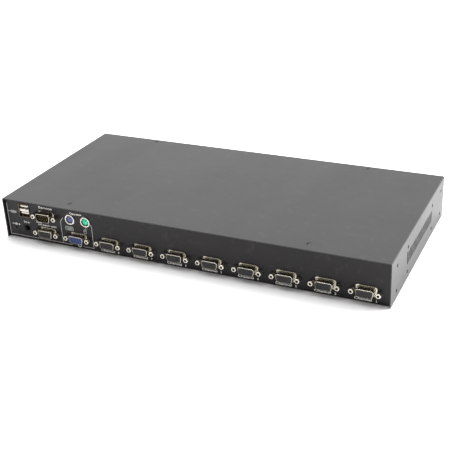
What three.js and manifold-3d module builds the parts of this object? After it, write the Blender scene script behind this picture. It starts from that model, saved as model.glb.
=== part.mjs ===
// A one-unit rack-mount keyboard, video and mouse switch for eight computers.
//
// Millimetres, +Z up. -Y is the connector side, +Y the button side, and +X is to the right for someone
// who faces the connectors. The origin is the centre of the base tray's underside.

import * as THREE from "three";
import { mergeVertices } from "three/addons/utils/BufferGeometryUtils.js";
import Module from "manifold-3d";

const wasm = await Module();
wasm.setup();

// ---------------------------------------------------------------- driving dimensions

// Chassis: an inverted U cover over a tray whose end walls carry the connectors and the buttons.
const WIDTH = 412;
const DEPTH = 200;
const HEIGHT = 44.4;
const SHEET = 1;
const GAP = 0.3; // clearance between neighbouring pieces
const BEND_RADIUS = 1.6; // outside radius of a folded edge
const COVER_FOOT = 0.2; // the cover's sides end this far above the tray's underside
const WALL_RECESS = 2.5; // connector wall, inside the cover's rear edge
const FASCIA_THICKNESS = 2.4;
const REAR_FLANGE = 14;
const FRONT_FLANGE = 10;
const SIDE_LIP = 4.5;

const REAR_FACE = -DEPTH / 2 + WALL_RECESS; // outside of the connector wall
const REAR_INNER = REAR_FACE + SHEET;
const FRONT_FACE = DEPTH / 2 - FASCIA_THICKNESS - GAP; // outside of the button wall
const FRONT_INNER = FRONT_FACE - SHEET;
const TRAY_HALF_WIDTH = WIDTH / 2 - SHEET - GAP;
const TRAY_TOP = HEIGHT - SHEET - GAP;

// Cover screws, rack-ear screw holes and ventilation slots.
const COVER_SCREW_X = [-129.9, 125.5];
const COVER_SCREW_Y = [-88.4, 94];
const COVER_SCREW = { headRadius: 2.5, shankRadius: 1.2, length: 5, sinkSlack: 0.5 };
const EAR_HOLE = { radius: 1.8, y: [-81, -44, 49.5, 86.5], z: [8, 33.5] };
const VENT = { count: 20, pitch: 4.8, width: 2.6, bottom: 16, top: 28.7, centreY: 0.5 };

// D-shaped connectors, shell size E, mounted behind the wall.
const D_SLOPE = THREE.MathUtils.degToRad(10);
const D_CUTOUT = { width: 21.6, height: 11.2, radius: 2.8 };
const D_SOCKET = { width: 17.3, height: 8.0, radius: 2.2 }; // outside of a female shell
const D_PLUG = { width: 17.8, height: 9.2, radius: 2.6 }; // outside of a male shell
const D_SHELL_WALL = 0.5;
const D_FLANGE = { width: 30.8, height: 12.5, thickness: 0.8 };
const D_STAND_OUT = 5.9; // shell rim, in front of the wall
const D_BODY = { width: 19, depth: 9 };
const JACK_SPREAD = 12.495; // from the connector's centre to each jack screw
const JACK_SCREW = { acrossFlats: 4.75, standOut: 5.7, shankRadius: 1.3, boreRadius: 1.4, boreDepth: 4 };
const JACK_HOLE_RADIUS = 1.65;

// Where the connectors sit on the wall.
const PORT_COUNT = 8;
const PORT_PITCH = 37.7;
const LAST_PORT_X = -81; // port 8, the furthest left
const LOWER_ROW_Z = 11.8;
const CONSOLE_VIDEO_X = -117.6;
const SERIAL = { x: -155, z: 30.2 };
const DAISY_X = -155;
const KEYBOARD_X = -125.3;
const MOUSE_X = -107;
const MINI_DIN_Z = 31.6;
const USB = { x: -181.3, bottom: 25.4, width: 13.1, height: 14.9, depth: 16.5, wall: 0.4, standOut: 0.8 };
const USB_PORT_HEIGHT = 5.2;
const USB_FLOORS = [1, 9.3]; // each port's floor, above the shell's underside
const USB_TONGUE = { width: 11.1, thickness: 1.84, setBack: 1, belowRoof: 0.7 };
const DC_JACK = { x: -180.6, z: 12.9, width: 9, depth: 13, boreRadius: 3.15, boreDepth: 10, pinRadius: 1 };
const RESET = { x: -194.6, z: 11.8, radius: 1.2, length: 3.8, travel: 0.3 };
const RESET_FRONT = REAR_INNER + 0.4; // the plunger's tip, just inside its pinhole

// Circular six-pin sockets.
const MINI_DIN = { width: 14, depth: 11, plate: 0.6, standOut: 1 };
const MINI_DIN_RING = { outer: 5.4, inner: 4.4, sides: 16 };
const MINI_DIN_GROOVE = { outer: 4.2, core: 3.4, end: 9 }; // the end is behind the wall's outer face

// Circuit boards.
const BOARD = 1.6;
const BOARD_REAR_EDGE = REAR_INNER + 1.7; // just behind the connector flanges
const MAIN_BOARD = { halfWidth: 200, front: 18, bottom: 4 };
const CONSOLE_BOARD = { left: -200, right: -96, front: -38, bottom: 23 };
const BUTTON_BOARD = { halfWidth: 196, back: 86.9, bottom: 4.5, top: 38 };
const MAIN_TOP = MAIN_BOARD.bottom + BOARD;
const CONSOLE_TOP = CONSOLE_BOARD.bottom + BOARD;
const BUTTON_BOARD_FRONT = BUTTON_BOARD.back + BOARD;
const SWITCH = { side: 6, height: 3.4 };
const RIBBON = { x: 0, width: 26, thickness: 0.9, header: { length: 34, depth: 9, height: 8.5 } };
const RIBBON_MAIN_Y = 8;
const RIBBON_LIFT = 30;
const RIBBON_HEADER_Z = 15;

// Buttons and indicators on the front.
const BUTTON = { width: 12, height: 7, radius: 1.2, standOut: 1.5, travel: 0.8 };
const BUTTON_ROW = { firstX: 155, pitch: 34, z: 18 };
const BUTTON_RETAINER = { width: 14.4, height: 9.4, thickness: 0.8 };
const BUTTON_STEM_RADIUS = 1.75;
const GUIDE = { radius: 1.4, spread: 5, z: 29, barHeight: 3, barDepth: 2 };
const DISPLAY = { x: -146, z: 21, width: 10, height: 13 };
const POWER_LIGHT = { x: -180, z: 21, radius: 1.5 };
const WINDOW_SLACK = 0.3;
const LIGHT_SIDES = 8; // flats round a light pipe

// ---------------------------------------------------------------- solids

const ROUND_STEPS = 12; // sides of a small cylinder
const BEND_STEPS = 3; // straight pieces in a sheet-metal bend
const CORNER_STEPS = 2; // straight pieces in a small rounded corner

function solidOf(geometry) {
  const bare = geometry.index ? geometry.toNonIndexed() : geometry.clone();
  bare.deleteAttribute("normal");
  bare.deleteAttribute("uv");
  const merged = mergeVertices(bare, 1e-4);
  return new wasm.Manifold(
    new wasm.Mesh({
      numProp: 3,
      vertProperties: merged.attributes.position.array,
      triVerts: new Uint32Array(merged.index.array),
    }),
  );
}

function geometryOf(solid) {
  const mesh = solid.getMesh();
  const positions = new Float32Array(mesh.numVert * 3);
  for (let i = 0; i < mesh.numVert; i++) {
    positions.set(mesh.vertProperties.subarray(i * mesh.numProp, i * mesh.numProp + 3), i * 3);
  }
  const geometry = new THREE.BufferGeometry();
  geometry.setAttribute("position", new THREE.BufferAttribute(positions, 3));
  geometry.setIndex(new THREE.BufferAttribute(new Uint32Array(mesh.triVerts), 1));
  return geometry;
}

const joined = (solids) => solids.reduce((whole, piece) => whole.add(piece));
const cut = (solid, cutters) => solid.subtract(joined(cutters));

function box([x0, x1], [y0, y1], [z0, z1]) {
  const geometry = new THREE.BoxGeometry(x1 - x0, y1 - y0, z1 - z0);
  return solidOf(geometry.translate((x0 + x1) / 2, (y0 + y1) / 2, (z0 + z1) / 2));
}

function rodY(radius, [y0, y1], x = 0, z = 0, sides = ROUND_STEPS) {
  return solidOf(new THREE.CylinderGeometry(radius, radius, y1 - y0, sides).translate(x, (y0 + y1) / 2, z));
}

function rodX(radius, [x0, x1], y, z, sides = ROUND_STEPS) {
  const geometry = new THREE.CylinderGeometry(radius, radius, x1 - x0, sides).rotateZ(Math.PI / 2);
  return solidOf(geometry.translate((x0 + x1) / 2, y, z));
}

// A rod or cone along Z, with its own radius at each end.
function rodZ(radius, [z0, z1], x = 0, y = 0, topRadius = radius, sides = ROUND_STEPS) {
  const geometry = new THREE.CylinderGeometry(topRadius, radius, z1 - z0, sides).rotateX(Math.PI / 2);
  return solidOf(geometry.translate(x, y, (z0 + z1) / 2));
}

// A convex outline through the given corners, anticlockwise, each rounded to the same radius.
function roundedOutline(corners, radius) {
  const shape = new THREE.Shape();
  corners.forEach(([x, y], i) => {
    const corner = new THREE.Vector2(x, y);
    const before = new THREE.Vector2(...corners.at(i - 1)).sub(corner).normalize();
    const after = new THREE.Vector2(...corners[(i + 1) % corners.length]).sub(corner).normalize();
    const half = Math.acos(before.dot(after)) / 2;
    const centre = before.clone().add(after).normalize().multiplyScalar(radius / Math.sin(half)).add(corner);
    const reach = radius / Math.tan(half);
    const from = before.multiplyScalar(reach).add(corner).sub(centre).angle();
    const to = after.multiplyScalar(reach).add(corner).sub(centre).angle();
    shape.absarc(centre.x, centre.y, radius, from, to, false);
  });
  shape.closePath();
  return shape;
}

function rectangle([x0, x1], [y0, y1], radius) {
  return roundedOutline([[x0, y0], [x1, y0], [x1, y1], [x0, y1]], radius);
}

// The D outline, wide side up, grown by a margin all round.
function dOutline({ width, height, radius }, margin = 0) {
  const h = height / 2 + margin;
  const top = width / 2 + margin;
  const bottom = top - 2 * h * Math.tan(D_SLOPE);
  return roundedOutline([[-bottom, -h], [bottom, -h], [top, h], [-top, h]], radius + margin);
}

// Sweeps an outline drawn in X and Z along Y.
function prismY(outline, [y0, y1], x = 0, z = 0, curveSegments = CORNER_STEPS) {
  const geometry = new THREE.ExtrudeGeometry(outline, { depth: y1 - y0, bevelEnabled: false, curveSegments });
  return solidOf(geometry.rotateX(Math.PI / 2).translate(x, y1, z));
}

// Sweeps an outline drawn in Y and Z along X.
function prismX(outline, [x0, x1], curveSegments = BEND_STEPS) {
  const geometry = new THREE.ExtrudeGeometry(outline, { depth: x1 - x0, bevelEnabled: false, curveSegments });
  const turn = new THREE.Matrix4().makeBasis(
    new THREE.Vector3(0, 1, 0),
    new THREE.Vector3(0, 0, 1),
    new THREE.Vector3(1, 0, 0),
  );
  return solidOf(geometry.applyMatrix4(turn).translate(x0, 0, 0));
}

// ---------------------------------------------------------------- materials

const paint = (color, roughness, metalness = 0) =>
  new THREE.MeshStandardMaterial({ color, roughness, metalness });
const materials = {
  cover: paint(0x2c2c2e, 0.45),
  wall: paint(0x1f1e20, 0.5),
  shell: paint(0xd0c8b4, 0.3, 0.9),
  screw: paint(0x2a2a2c, 0.4, 0.6),
  black: paint(0x17171a, 0.6),
  blue: paint(0x2f55a8, 0.5),
  purple: paint(0x7a6cc4, 0.5),
  green: paint(0x2cc79b, 0.5),
  white: paint(0xece6da, 0.55),
  board: paint(0x1d5a36, 0.5),
  button: paint(0x3a3a3e, 0.55),
  clear: paint(0xd8e4e0, 0.2),
  display: paint(0x30100e, 0.2),
  aluminium: paint(0xa8abae, 0.4, 0.9),
  ribbon: paint(0x9a9a98, 0.6),
};

const assembly = new THREE.Group();

function place(name, geometry, material, [x, y, z] = [0, 0, 0], parent = assembly) {
  const mesh = new THREE.Mesh(geometry, materials[material]);
  mesh.name = name;
  mesh.position.set(x, y, z);
  parent.add(mesh);
}

// ---------------------------------------------------------------- connector positions

const portX = (number) => LAST_PORT_X + (PORT_COUNT - number) * PORT_PITCH;
const portNumbers = Array.from({ length: PORT_COUNT }, (_, i) => i + 1);
const buttonX = (number) => BUTTON_ROW.firstX - (number - 1) * BUTTON_ROW.pitch;
const dConnectors = [
  ...portNumbers.map((n) => ({
    name: "computer_port",
    suffix: `_${n}`,
    x: portX(n),
    z: LOWER_ROW_Z,
    body: "black",
  })),
  { name: "console_video", suffix: "", x: CONSOLE_VIDEO_X, z: LOWER_ROW_Z, body: "blue" },
  { name: "daisy_chain", suffix: "", x: DAISY_X, z: LOWER_ROW_Z, body: "black" },
  { name: "serial", suffix: "", x: SERIAL.x, z: SERIAL.z, body: "black", male: true },
];

// ---------------------------------------------------------------- chassis

function coverSolid() {
  const sides = [-WIDTH / 2, WIDTH / 2];
  const inside = sides.map((x) => x - Math.sign(x) * SHEET);
  const below = COVER_FOOT - 3 * BEND_RADIUS;
  const length = [-DEPTH / 2, DEPTH / 2];
  const past = [-DEPTH / 2 - 1, DEPTH / 2 + 1];
  const bent = (outline, span) => prismY(outline, span, 0, 0, BEND_STEPS);
  const outer = bent(rectangle(sides, [below, HEIGHT], BEND_RADIUS), length);
  const inner = bent(rectangle(inside, [below - SHEET, HEIGHT - SHEET], BEND_RADIUS - SHEET), past);
  const trim = box([-WIDTH, WIDTH], past, [below - 2, COVER_FOOT]);
  const through = [-WIDTH, WIDTH];
  const vents = Array.from({ length: VENT.count }, (_, i) => {
    const y = VENT.centreY + (i - (VENT.count - 1) / 2) * VENT.pitch;
    return box(through, [y - VENT.width / 2, y + VENT.width / 2], [VENT.bottom, VENT.top]);
  });
  const earHoles = EAR_HOLE.y.flatMap((y) => EAR_HOLE.z.map((z) => rodX(EAR_HOLE.radius, through, y, z, 8)));
  const { shankRadius, headRadius, sinkSlack } = COVER_SCREW;
  const sinkDepth = [HEIGHT - SHEET - GAP, HEIGHT];
  const sinks = coverScrewPlaces().map(([x, y]) =>
    rodZ(shankRadius + sinkSlack, sinkDepth, x, y, headRadius + sinkSlack),
  );
  return cut(outer, [inner, trim, ...vents, ...earHoles, ...sinks]);
}

function coverScrewPlaces() {
  return COVER_SCREW_Y.flatMap((y) => COVER_SCREW_X.map((x) => [x, y]));
}

// Holes through the connector wall, one group for each connector.
function rearCutouts() {
  const through = [REAR_FACE - 1, REAR_INNER + 1];
  const slack = 0.5;
  const forD = dConnectors.flatMap(({ x, z }) => [
    prismY(dOutline(D_CUTOUT), through, x, z),
    ...[-1, 1].map((side) => rodY(JACK_HOLE_RADIUS, through, x + side * JACK_SPREAD, z, 6)),
  ]);
  const { outer, sides } = MINI_DIN_RING;
  const miniDin = [KEYBOARD_X, MOUSE_X].map((x) => rodY(outer + slack, through, x, MINI_DIN_Z, sides));
  const usb = box(
    [USB.x - USB.width / 2 - slack, USB.x + USB.width / 2 + slack],
    through,
    [USB.bottom - slack, USB.bottom + USB.height + slack],
  );
  const dcJack = rodY(DC_JACK.boreRadius + 1, through, DC_JACK.x, DC_JACK.z, 16);
  const reset = rodY(RESET.radius, through, RESET.x, RESET.z, 10);
  return [...forD, ...miniDin, usb, dcJack, reset];
}

// A window around something of the given size, with a little slack all round.
function windowAt(x, z, width, height, through) {
  const w = width / 2 + WINDOW_SLACK;
  const h = height / 2 + WINDOW_SLACK;
  return box([x - w, x + w], through, [z - h, z + h]);
}

const displayWindow = (through) => windowAt(DISPLAY.x, DISPLAY.z, DISPLAY.width, DISPLAY.height, through);

function powerLightHole(through) {
  return rodY(POWER_LIGHT.radius + WINDOW_SLACK, through, POWER_LIGHT.x, POWER_LIGHT.z, LIGHT_SIDES);
}

// The button wall has plain windows; the fascia in front of it has the close-fitting ones.
function wallWindows() {
  const through = [FRONT_INNER - 1, FRONT_FACE + 1];
  const { width, height } = BUTTON;
  const buttons = portNumbers.map((n) => windowAt(buttonX(n), BUTTON_ROW.z, width, height, through));
  const pairWidth = GUIDE.spread + 2 * GUIDE.radius;
  const guides = portNumbers.map((n) => windowAt(buttonX(n), GUIDE.z, pairWidth, 2 * GUIDE.radius, through));
  return [...buttons, ...guides, displayWindow(through), powerLightHole(through)];
}

function fasciaWindows() {
  const through = [FRONT_FACE, DEPTH / 2 + 1];
  const w = BUTTON.width / 2 + WINDOW_SLACK;
  const h = BUTTON.height / 2 + WINDOW_SLACK;
  const around = rectangle([-w, w], [-h, h], BUTTON.radius + WINDOW_SLACK);
  const buttons = portNumbers.map((n) => prismY(around, through, buttonX(n), BUTTON_ROW.z));
  const guideRadius = GUIDE.radius + WINDOW_SLACK;
  const guides = guidePlaces().map((x) => rodY(guideRadius, through, x, GUIDE.z, LIGHT_SIDES));
  return [...buttons, ...guides, displayWindow(through), powerLightHole(through)];
}

function guidePlaces() {
  return portNumbers.flatMap((n) => [-1, 1].map((side) => buttonX(n) + (side * GUIDE.spread) / 2));
}

function traySolid() {
  const across = [-TRAY_HALF_WIDTH, TRAY_HALF_WIDTH];
  const past = [-TRAY_HALF_WIDTH - 1, TRAY_HALF_WIDTH + 1];
  const outer = prismX(rectangle([REAR_FACE, FRONT_FACE], [0, TRAY_TOP], BEND_RADIUS), across);
  const inner = prismX(
    rectangle([REAR_INNER, FRONT_INNER], [SHEET, TRAY_TOP - SHEET], BEND_RADIUS - SHEET),
    past,
  );
  const mouthSpan = [REAR_INNER + REAR_FLANGE, FRONT_INNER - FRONT_FLANGE];
  const mouth = box(past, mouthSpan, [TRAY_TOP - 2 * SHEET, HEIGHT]);
  const tapped = coverScrewPlaces().map(([x, y]) =>
    rodZ(COVER_SCREW.shankRadius + 0.3, [TRAY_TOP - 2 * SHEET, HEIGHT], x, y, undefined, 10),
  );
  const sheet = cut(outer, [inner, mouth, ...tapped, ...rearCutouts(), ...wallWindows()]);
  const lips = [-1, 1].map((side) => {
    const edge = [side * TRAY_HALF_WIDTH, side * (TRAY_HALF_WIDTH - SHEET)].sort((a, b) => a - b);
    return box(edge, [REAR_INNER - 0.5, FRONT_INNER + 0.5], [SHEET / 2, SIDE_LIP]);
  });
  const bosses = [-185, -70, 70, 185].flatMap((x) =>
    [-75, 10].map((y) => rodZ(3, [SHEET / 2, MAIN_BOARD.bottom - GAP], x, y, undefined, 6)),
  );
  return joined([sheet, ...lips, ...bosses]);
}

function fasciaSolid() {
  const plate = prismY(
    rectangle([-TRAY_HALF_WIDTH, TRAY_HALF_WIDTH], [COVER_FOOT, TRAY_TOP], 0.8),
    [FRONT_FACE + GAP, DEPTH / 2],
  );
  return cut(plate, fasciaWindows());
}

function coverScrewSolid() {
  const { headRadius, shankRadius, length } = COVER_SCREW;
  const head = rodZ(shankRadius, [-SHEET, -0.1], 0, 0, headRadius);
  const shank = rodZ(shankRadius, [-length, -SHEET + 0.2]);
  const recess = [box([-1.4, 1.4], [-0.3, 0.3], [-0.8, 1]), box([-0.3, 0.3], [-1.4, 1.4], [-0.8, 1])];
  return cut(head.add(shank), recess);
}

// ---------------------------------------------------------------- connectors
// Each is drawn about its own centre on the wall's outer face, with -Y pointing out of the wall.

function dShellSolid(outline) {
  const flangeFront = SHEET + GAP;
  const flangeBack = flangeFront + D_FLANGE.thickness;
  const { width, height } = D_FLANGE;
  const flange = box([-width / 2, width / 2], [flangeFront, flangeBack], [-height / 2, height / 2]);
  const tube = prismY(dOutline(outline), [-D_STAND_OUT, flangeBack]);
  const inside = prismY(dOutline(outline, -D_SHELL_WALL), [-D_STAND_OUT - 1, flangeBack + 1]);
  const screws = [-1, 1].map((side) => jackScrewSolid(side * JACK_SPREAD, flangeFront));
  return joined([flange.add(tube).subtract(inside), ...screws]);
}

// A hexagonal jack screw: its shank runs back into the flange and its bore takes the cable's screw.
function jackScrewSolid(x, flangeFront) {
  const { acrossFlats, standOut, shankRadius, boreRadius, boreDepth } = JACK_SCREW;
  const head = rodY(acrossFlats / Math.sqrt(3), [-standOut, -GAP], x, 0, 6);
  const shank = rodY(shankRadius, [-1, flangeFront + D_FLANGE.thickness / 2], x, 0, 6);
  return head.add(shank).subtract(rodY(boreRadius, [-standOut - 1, -standOut + boreDepth], x, 0, 8));
}

// The moulded body: a D face inside the shell, and a block behind the flange that stands on the board.
function dBodySolid(outline, faceY, bottom) {
  const back = SHEET + 2 * GAP + D_FLANGE.thickness;
  const face = prismY(dOutline(outline, -D_SHELL_WALL - GAP), [faceY, back + 1]);
  const half = D_BODY.width / 2;
  const block = box([-half, half], [back, back + D_BODY.depth], [bottom, D_FLANGE.height / 2]);
  return face.add(block);
}

// The metal shield of a circular socket: a ring through the wall and a plate behind it.
function miniDinShieldSolid() {
  const { width, plate, standOut } = MINI_DIN;
  const { outer, inner, sides } = MINI_DIN_RING;
  const half = width / 2;
  const back = SHEET + GAP + plate;
  const square = box([-half, half], [back - plate, back], [-half, half - 1]);
  const ring = rodY(outer, [-standOut, back], 0, 0, sides);
  return square.add(ring).subtract(rodY(inner, [-standOut - 1, back + 1], 0, 0, sides));
}

// The coloured moulding: a block behind the wall with a core standing forward out of its round groove.
function miniDinInsertSolid() {
  const { width, depth, plate, standOut } = MINI_DIN;
  const { outer, core, end } = MINI_DIN_GROOVE;
  const { sides } = MINI_DIN_RING;
  const half = width / 2;
  const front = SHEET + 2 * GAP + plate;
  const faceY = -standOut + 1;
  const block = box([-half, half], [front, front + depth], [-half + GAP, half - 1]);
  const hollow = rodY(outer, [front - 1, end], 0, 0, sides);
  const middle = rodY(core, [faceY, end + 1], 0, 0, sides);
  const keyway = box([-0.9, 0.9], [faceY - 1, end - 1], [0.9, 2.4]);
  return block.subtract(hollow).add(middle).subtract(keyway);
}

// A thin shell round both USB ports, open in front.
function usbShellSolid() {
  const half = USB.width / 2;
  const { wall, height, depth, standOut } = USB;
  const outer = box([-half, half], [-standOut, depth], [0, height]);
  return outer.subtract(box([-half + wall, half - wall], [-standOut - 1, depth + 1], [wall, height - wall]));
}

// The moulding inside it: a back, a shelf under, between and over the ports, and a contact tongue in each.
function usbInsertSolid() {
  const { wall, height, depth, standOut } = USB;
  const half = USB.width / 2 - wall - GAP / 2;
  const [bottom, top] = [wall + GAP / 2, height - wall - GAP / 2];
  const front = -standOut + 0.2;
  const whole = box([-half, half], [front, depth + 2], [bottom, top]);
  const across = [-half - 1, half + 1];
  const ports = USB_FLOORS.map((floor) => box(across, [front - 1, depth], [floor, floor + USB_PORT_HEIGHT]));
  const tongues = USB_FLOORS.map((floor) => {
    const roof = floor + USB_PORT_HEIGHT - USB_TONGUE.belowRoof;
    const reach = [-standOut + USB_TONGUE.setBack, depth + 1];
    return box([-USB_TONGUE.width / 2, USB_TONGUE.width / 2], reach, [roof - USB_TONGUE.thickness, roof]);
  });
  return joined([cut(whole, ports), ...tongues]);
}

function dcJackSolid() {
  const front = SHEET + GAP;
  const bottom = MAIN_TOP + GAP - DC_JACK.z;
  const block = box([-DC_JACK.width / 2, DC_JACK.width / 2], [front, front + DC_JACK.depth], [bottom, 4.6]);
  const collar = rodY(DC_JACK.boreRadius + 0.7, [0, front + 1], 0, 0, 16);
  return block.add(collar).subtract(rodY(DC_JACK.boreRadius, [-1, front + DC_JACK.boreDepth], 0, 0, 16));
}

function dcPinSolid() {
  return rodY(DC_JACK.pinRadius, [1, SHEET + GAP + DC_JACK.boreDepth - GAP], 0, 0, 8);
}

// ---------------------------------------------------------------- boards
// Soldered components are part of their board.

const SOLDER = 0.2; // how far a soldered part reaches into its board
const onBoard = (x, y, width, depth, height, top) =>
  box([x - width / 2, x + width / 2], [y - depth / 2, y + depth / 2], [top - SOLDER, top + height]);

function mainBoardSolid() {
  const { halfWidth, front, bottom } = MAIN_BOARD;
  const board = box([-halfWidth, halfWidth], [BOARD_REAR_EDGE, front], [bottom, MAIN_TOP]);
  const perPort = portNumbers.flatMap((n) => [
    onBoard(portX(n), -68, 10.3, 7.5, 2.3, MAIN_TOP),
    onBoard(portX(n) + 2, -46, 9, 9, 1.5, MAIN_TOP),
  ]);
  const controller = onBoard(60, -14, 20, 20, 1.6, MAIN_TOP);
  const crystal = onBoard(84, -14, 11, 4.6, 3.4, MAIN_TOP);
  const memory = onBoard(30, -14, 14, 10, 1.6, MAIN_TOP);
  const canHeight = [MAIN_TOP - SOLDER, MAIN_TOP + 8];
  const capacitors = [-170, -158, -146].map((x) => rodZ(3.2, canHeight, x, -10, undefined, 10));
  const { length, depth, height } = RIBBON.header;
  const header = onBoard(RIBBON.x, RIBBON_MAIN_Y, length, depth, height, MAIN_TOP);
  const switchFront = RESET_FRONT + RESET.length + RESET.travel + 0.2;
  const resetSwitch = box(
    [RESET.x - SWITCH.side / 2, RESET.x + SWITCH.side / 2],
    [switchFront, switchFront + SWITCH.height],
    [MAIN_TOP - SOLDER, RESET.z + SWITCH.side / 2],
  );
  return joined([board, ...perPort, controller, crystal, memory, ...capacitors, header, resetSwitch]);
}

function consoleBoardSolid() {
  const { left, right, front, bottom } = CONSOLE_BOARD;
  const board = box([left, right], [BOARD_REAR_EDGE, front], [bottom, CONSOLE_TOP]);
  const chips = [onBoard(-180, -60, 12, 12, 1.6, CONSOLE_TOP), onBoard(-150, -58, 18, 7.5, 2.3, CONSOLE_TOP)];
  return joined([board, ...chips]);
}

function buttonBoardSolid() {
  const { halfWidth, back, bottom, top } = BUTTON_BOARD;
  const board = box([-halfWidth, halfWidth], [back, BUTTON_BOARD_FRONT], [bottom, top]);
  const half = SWITCH.side / 2;
  const switches = portNumbers.map((n) =>
    box(
      [buttonX(n) - half, buttonX(n) + half],
      [BUTTON_BOARD_FRONT - 0.2, BUTTON_BOARD_FRONT + SWITCH.height],
      [BUTTON_ROW.z - half, BUTTON_ROW.z + half],
    ),
  );
  const { length, depth, height } = RIBBON.header;
  const header = box(
    [RIBBON.x - length / 2, RIBBON.x + length / 2],
    [back - height, back + 0.2],
    [RIBBON_HEADER_Z, RIBBON_HEADER_Z + depth],
  );
  return joined([board, ...switches, header]);
}

// The flat cable: up out of the main board's header, over, and into the back of the button board's header.
function ribbonGeometry() {
  const start = new THREE.Vector3(RIBBON.x, RIBBON_MAIN_Y, MAIN_TOP + RIBBON.header.height + GAP);
  const end = new THREE.Vector3(
    RIBBON.x,
    BUTTON_BOARD.back - RIBBON.header.height - GAP,
    RIBBON_HEADER_Z + RIBBON.header.depth / 2,
  );
  const route = new THREE.CubicBezierCurve3(
    start,
    new THREE.Vector3(RIBBON.x, start.y, start.z + RIBBON_LIFT),
    new THREE.Vector3(RIBBON.x, end.y - 2 * RIBBON_LIFT, end.z),
    end,
  );
  const half = RIBBON.width / 2;
  const points = route.getPoints(14);
  const outline = new THREE.Shape();
  const sides = [1, -1].map((side) =>
    points.map((point, i) => {
      const along = route.getTangent(i / (points.length - 1));
      const offset = (side * RIBBON.thickness) / 2;
      return new THREE.Vector2(point.y + along.z * offset, point.z - along.y * offset);
    }),
  );
  outline.setFromPoints([...sides[0], ...sides[1].reverse()]);
  return geometryOf(prismX(outline, [RIBBON.x - half, RIBBON.x + half]));
}

// ---------------------------------------------------------------- front controls

// A key cap with a retainer behind the wall and a stem that reaches its switch.
function buttonSolid() {
  const { width, height, radius, standOut } = BUTTON;
  const cap = prismY(
    rectangle([-width / 2, width / 2], [-height / 2, height / 2], radius),
    [FRONT_INNER - GAP - 0.4, DEPTH / 2 + standOut],
  );
  const w = BUTTON_RETAINER.width / 2;
  const h = BUTTON_RETAINER.height / 2;
  const retainer = box([-w, w], [FRONT_INNER - GAP - BUTTON_RETAINER.thickness, FRONT_INNER - GAP], [-h, h]);
  const stemEnd = BUTTON_BOARD_FRONT + SWITCH.height + BUTTON.travel + 0.1;
  const stem = rodY(BUTTON_STEM_RADIUS, [stemEnd, FRONT_INNER - GAP - 0.4], 0, 0, 8);
  return joined([cap, retainer, stem]);
}

// One clear moulding: a bar with a light pipe for every indicator.
function lightGuideSolid() {
  const back = FRONT_INNER - GAP - GUIDE.barDepth;
  const places = guidePlaces();
  const bar = box(
    [Math.min(...places) - 4, Math.max(...places) + 4],
    [back, FRONT_INNER - GAP],
    [GUIDE.z - GUIDE.barHeight / 2, GUIDE.z + GUIDE.barHeight / 2],
  );
  const pipes = places.map((x) => rodY(GUIDE.radius, [back + 0.5, DEPTH / 2 - 0.1], x, GUIDE.z, LIGHT_SIDES));
  return joined([bar, ...pipes]);
}

function displaySolid() {
  const { x, z, width, height } = DISPLAY;
  const reach = [BUTTON_BOARD_FRONT + GAP, DEPTH / 2 - 0.4];
  return box([x - width / 2, x + width / 2], reach, [z - height / 2, z + height / 2]);
}

function heatSinkSolid() {
  const base = box([-11, 11], [-6, 6], [0, 3]);
  const fins = [-9.5, -4.75, 0, 4.75, 9.5].map((x) => box([x - 0.75, x + 0.75], [-6, 6], [2, 14]));
  return joined([base, ...fins]);
}

// ---------------------------------------------------------------- assembly

place("top_cover", geometryOf(coverSolid()), "cover");
place("base_tray", geometryOf(traySolid()), "wall");
place("front_fascia", geometryOf(fasciaSolid()), "wall");

const coverScrew = geometryOf(coverScrewSolid());
coverScrewPlaces().forEach(([x, y], i) => place(`cover_screw_${i + 1}`, coverScrew, "screw", [x, y, HEIGHT]));

const socketShell = geometryOf(dShellSolid(D_SOCKET));
const socketBody = geometryOf(dBodySolid(D_SOCKET, -D_STAND_OUT + 0.4, MAIN_TOP + GAP - LOWER_ROW_Z));
const plugShell = geometryOf(dShellSolid(D_PLUG));
const plugBody = geometryOf(dBodySolid(D_PLUG, 0.6, CONSOLE_TOP + GAP - SERIAL.z));
dConnectors.forEach(({ name, suffix, x, z, body, male }) => {
  const at = [x, REAR_FACE, z];
  place(`${name}_shell${suffix}`, male ? plugShell : socketShell, "shell", at);
  place(`${name}_insulator${suffix}`, male ? plugBody : socketBody, body, at);
});

const miniDinShield = geometryOf(miniDinShieldSolid());
const miniDinInsert = geometryOf(miniDinInsertSolid());
[["keyboard_port", KEYBOARD_X, "purple"], ["mouse_port", MOUSE_X, "green"]].forEach(([name, x, colour]) => {
  const at = [x, REAR_FACE, MINI_DIN_Z];
  place(`${name}_shield`, miniDinShield, "shell", at);
  place(`${name}_insert`, miniDinInsert, colour, at);
});

const usbPlace = [USB.x, REAR_FACE, USB.bottom];
place("usb_shell", geometryOf(usbShellSolid()), "shell", usbPlace);
place("usb_insert", geometryOf(usbInsertSolid()), "white", usbPlace);

const dcPlace = [DC_JACK.x, REAR_FACE, DC_JACK.z];
place("dc_jack_housing", geometryOf(dcJackSolid()), "black", dcPlace);
place("dc_jack_pin", geometryOf(dcPinSolid()), "shell", dcPlace);

const resetPlunger = rodY(RESET.radius - 0.1, [RESET_FRONT, RESET_FRONT + RESET.length], 0, 0, 10);
place("reset_button", geometryOf(resetPlunger), "button", [RESET.x, 0, RESET.z]);

place("main_board", geometryOf(mainBoardSolid()), "board");
place("console_board", geometryOf(consoleBoardSolid()), "board");
place("button_board", geometryOf(buttonBoardSolid()), "board");
place("ribbon_cable", ribbonGeometry(), "ribbon");

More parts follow.
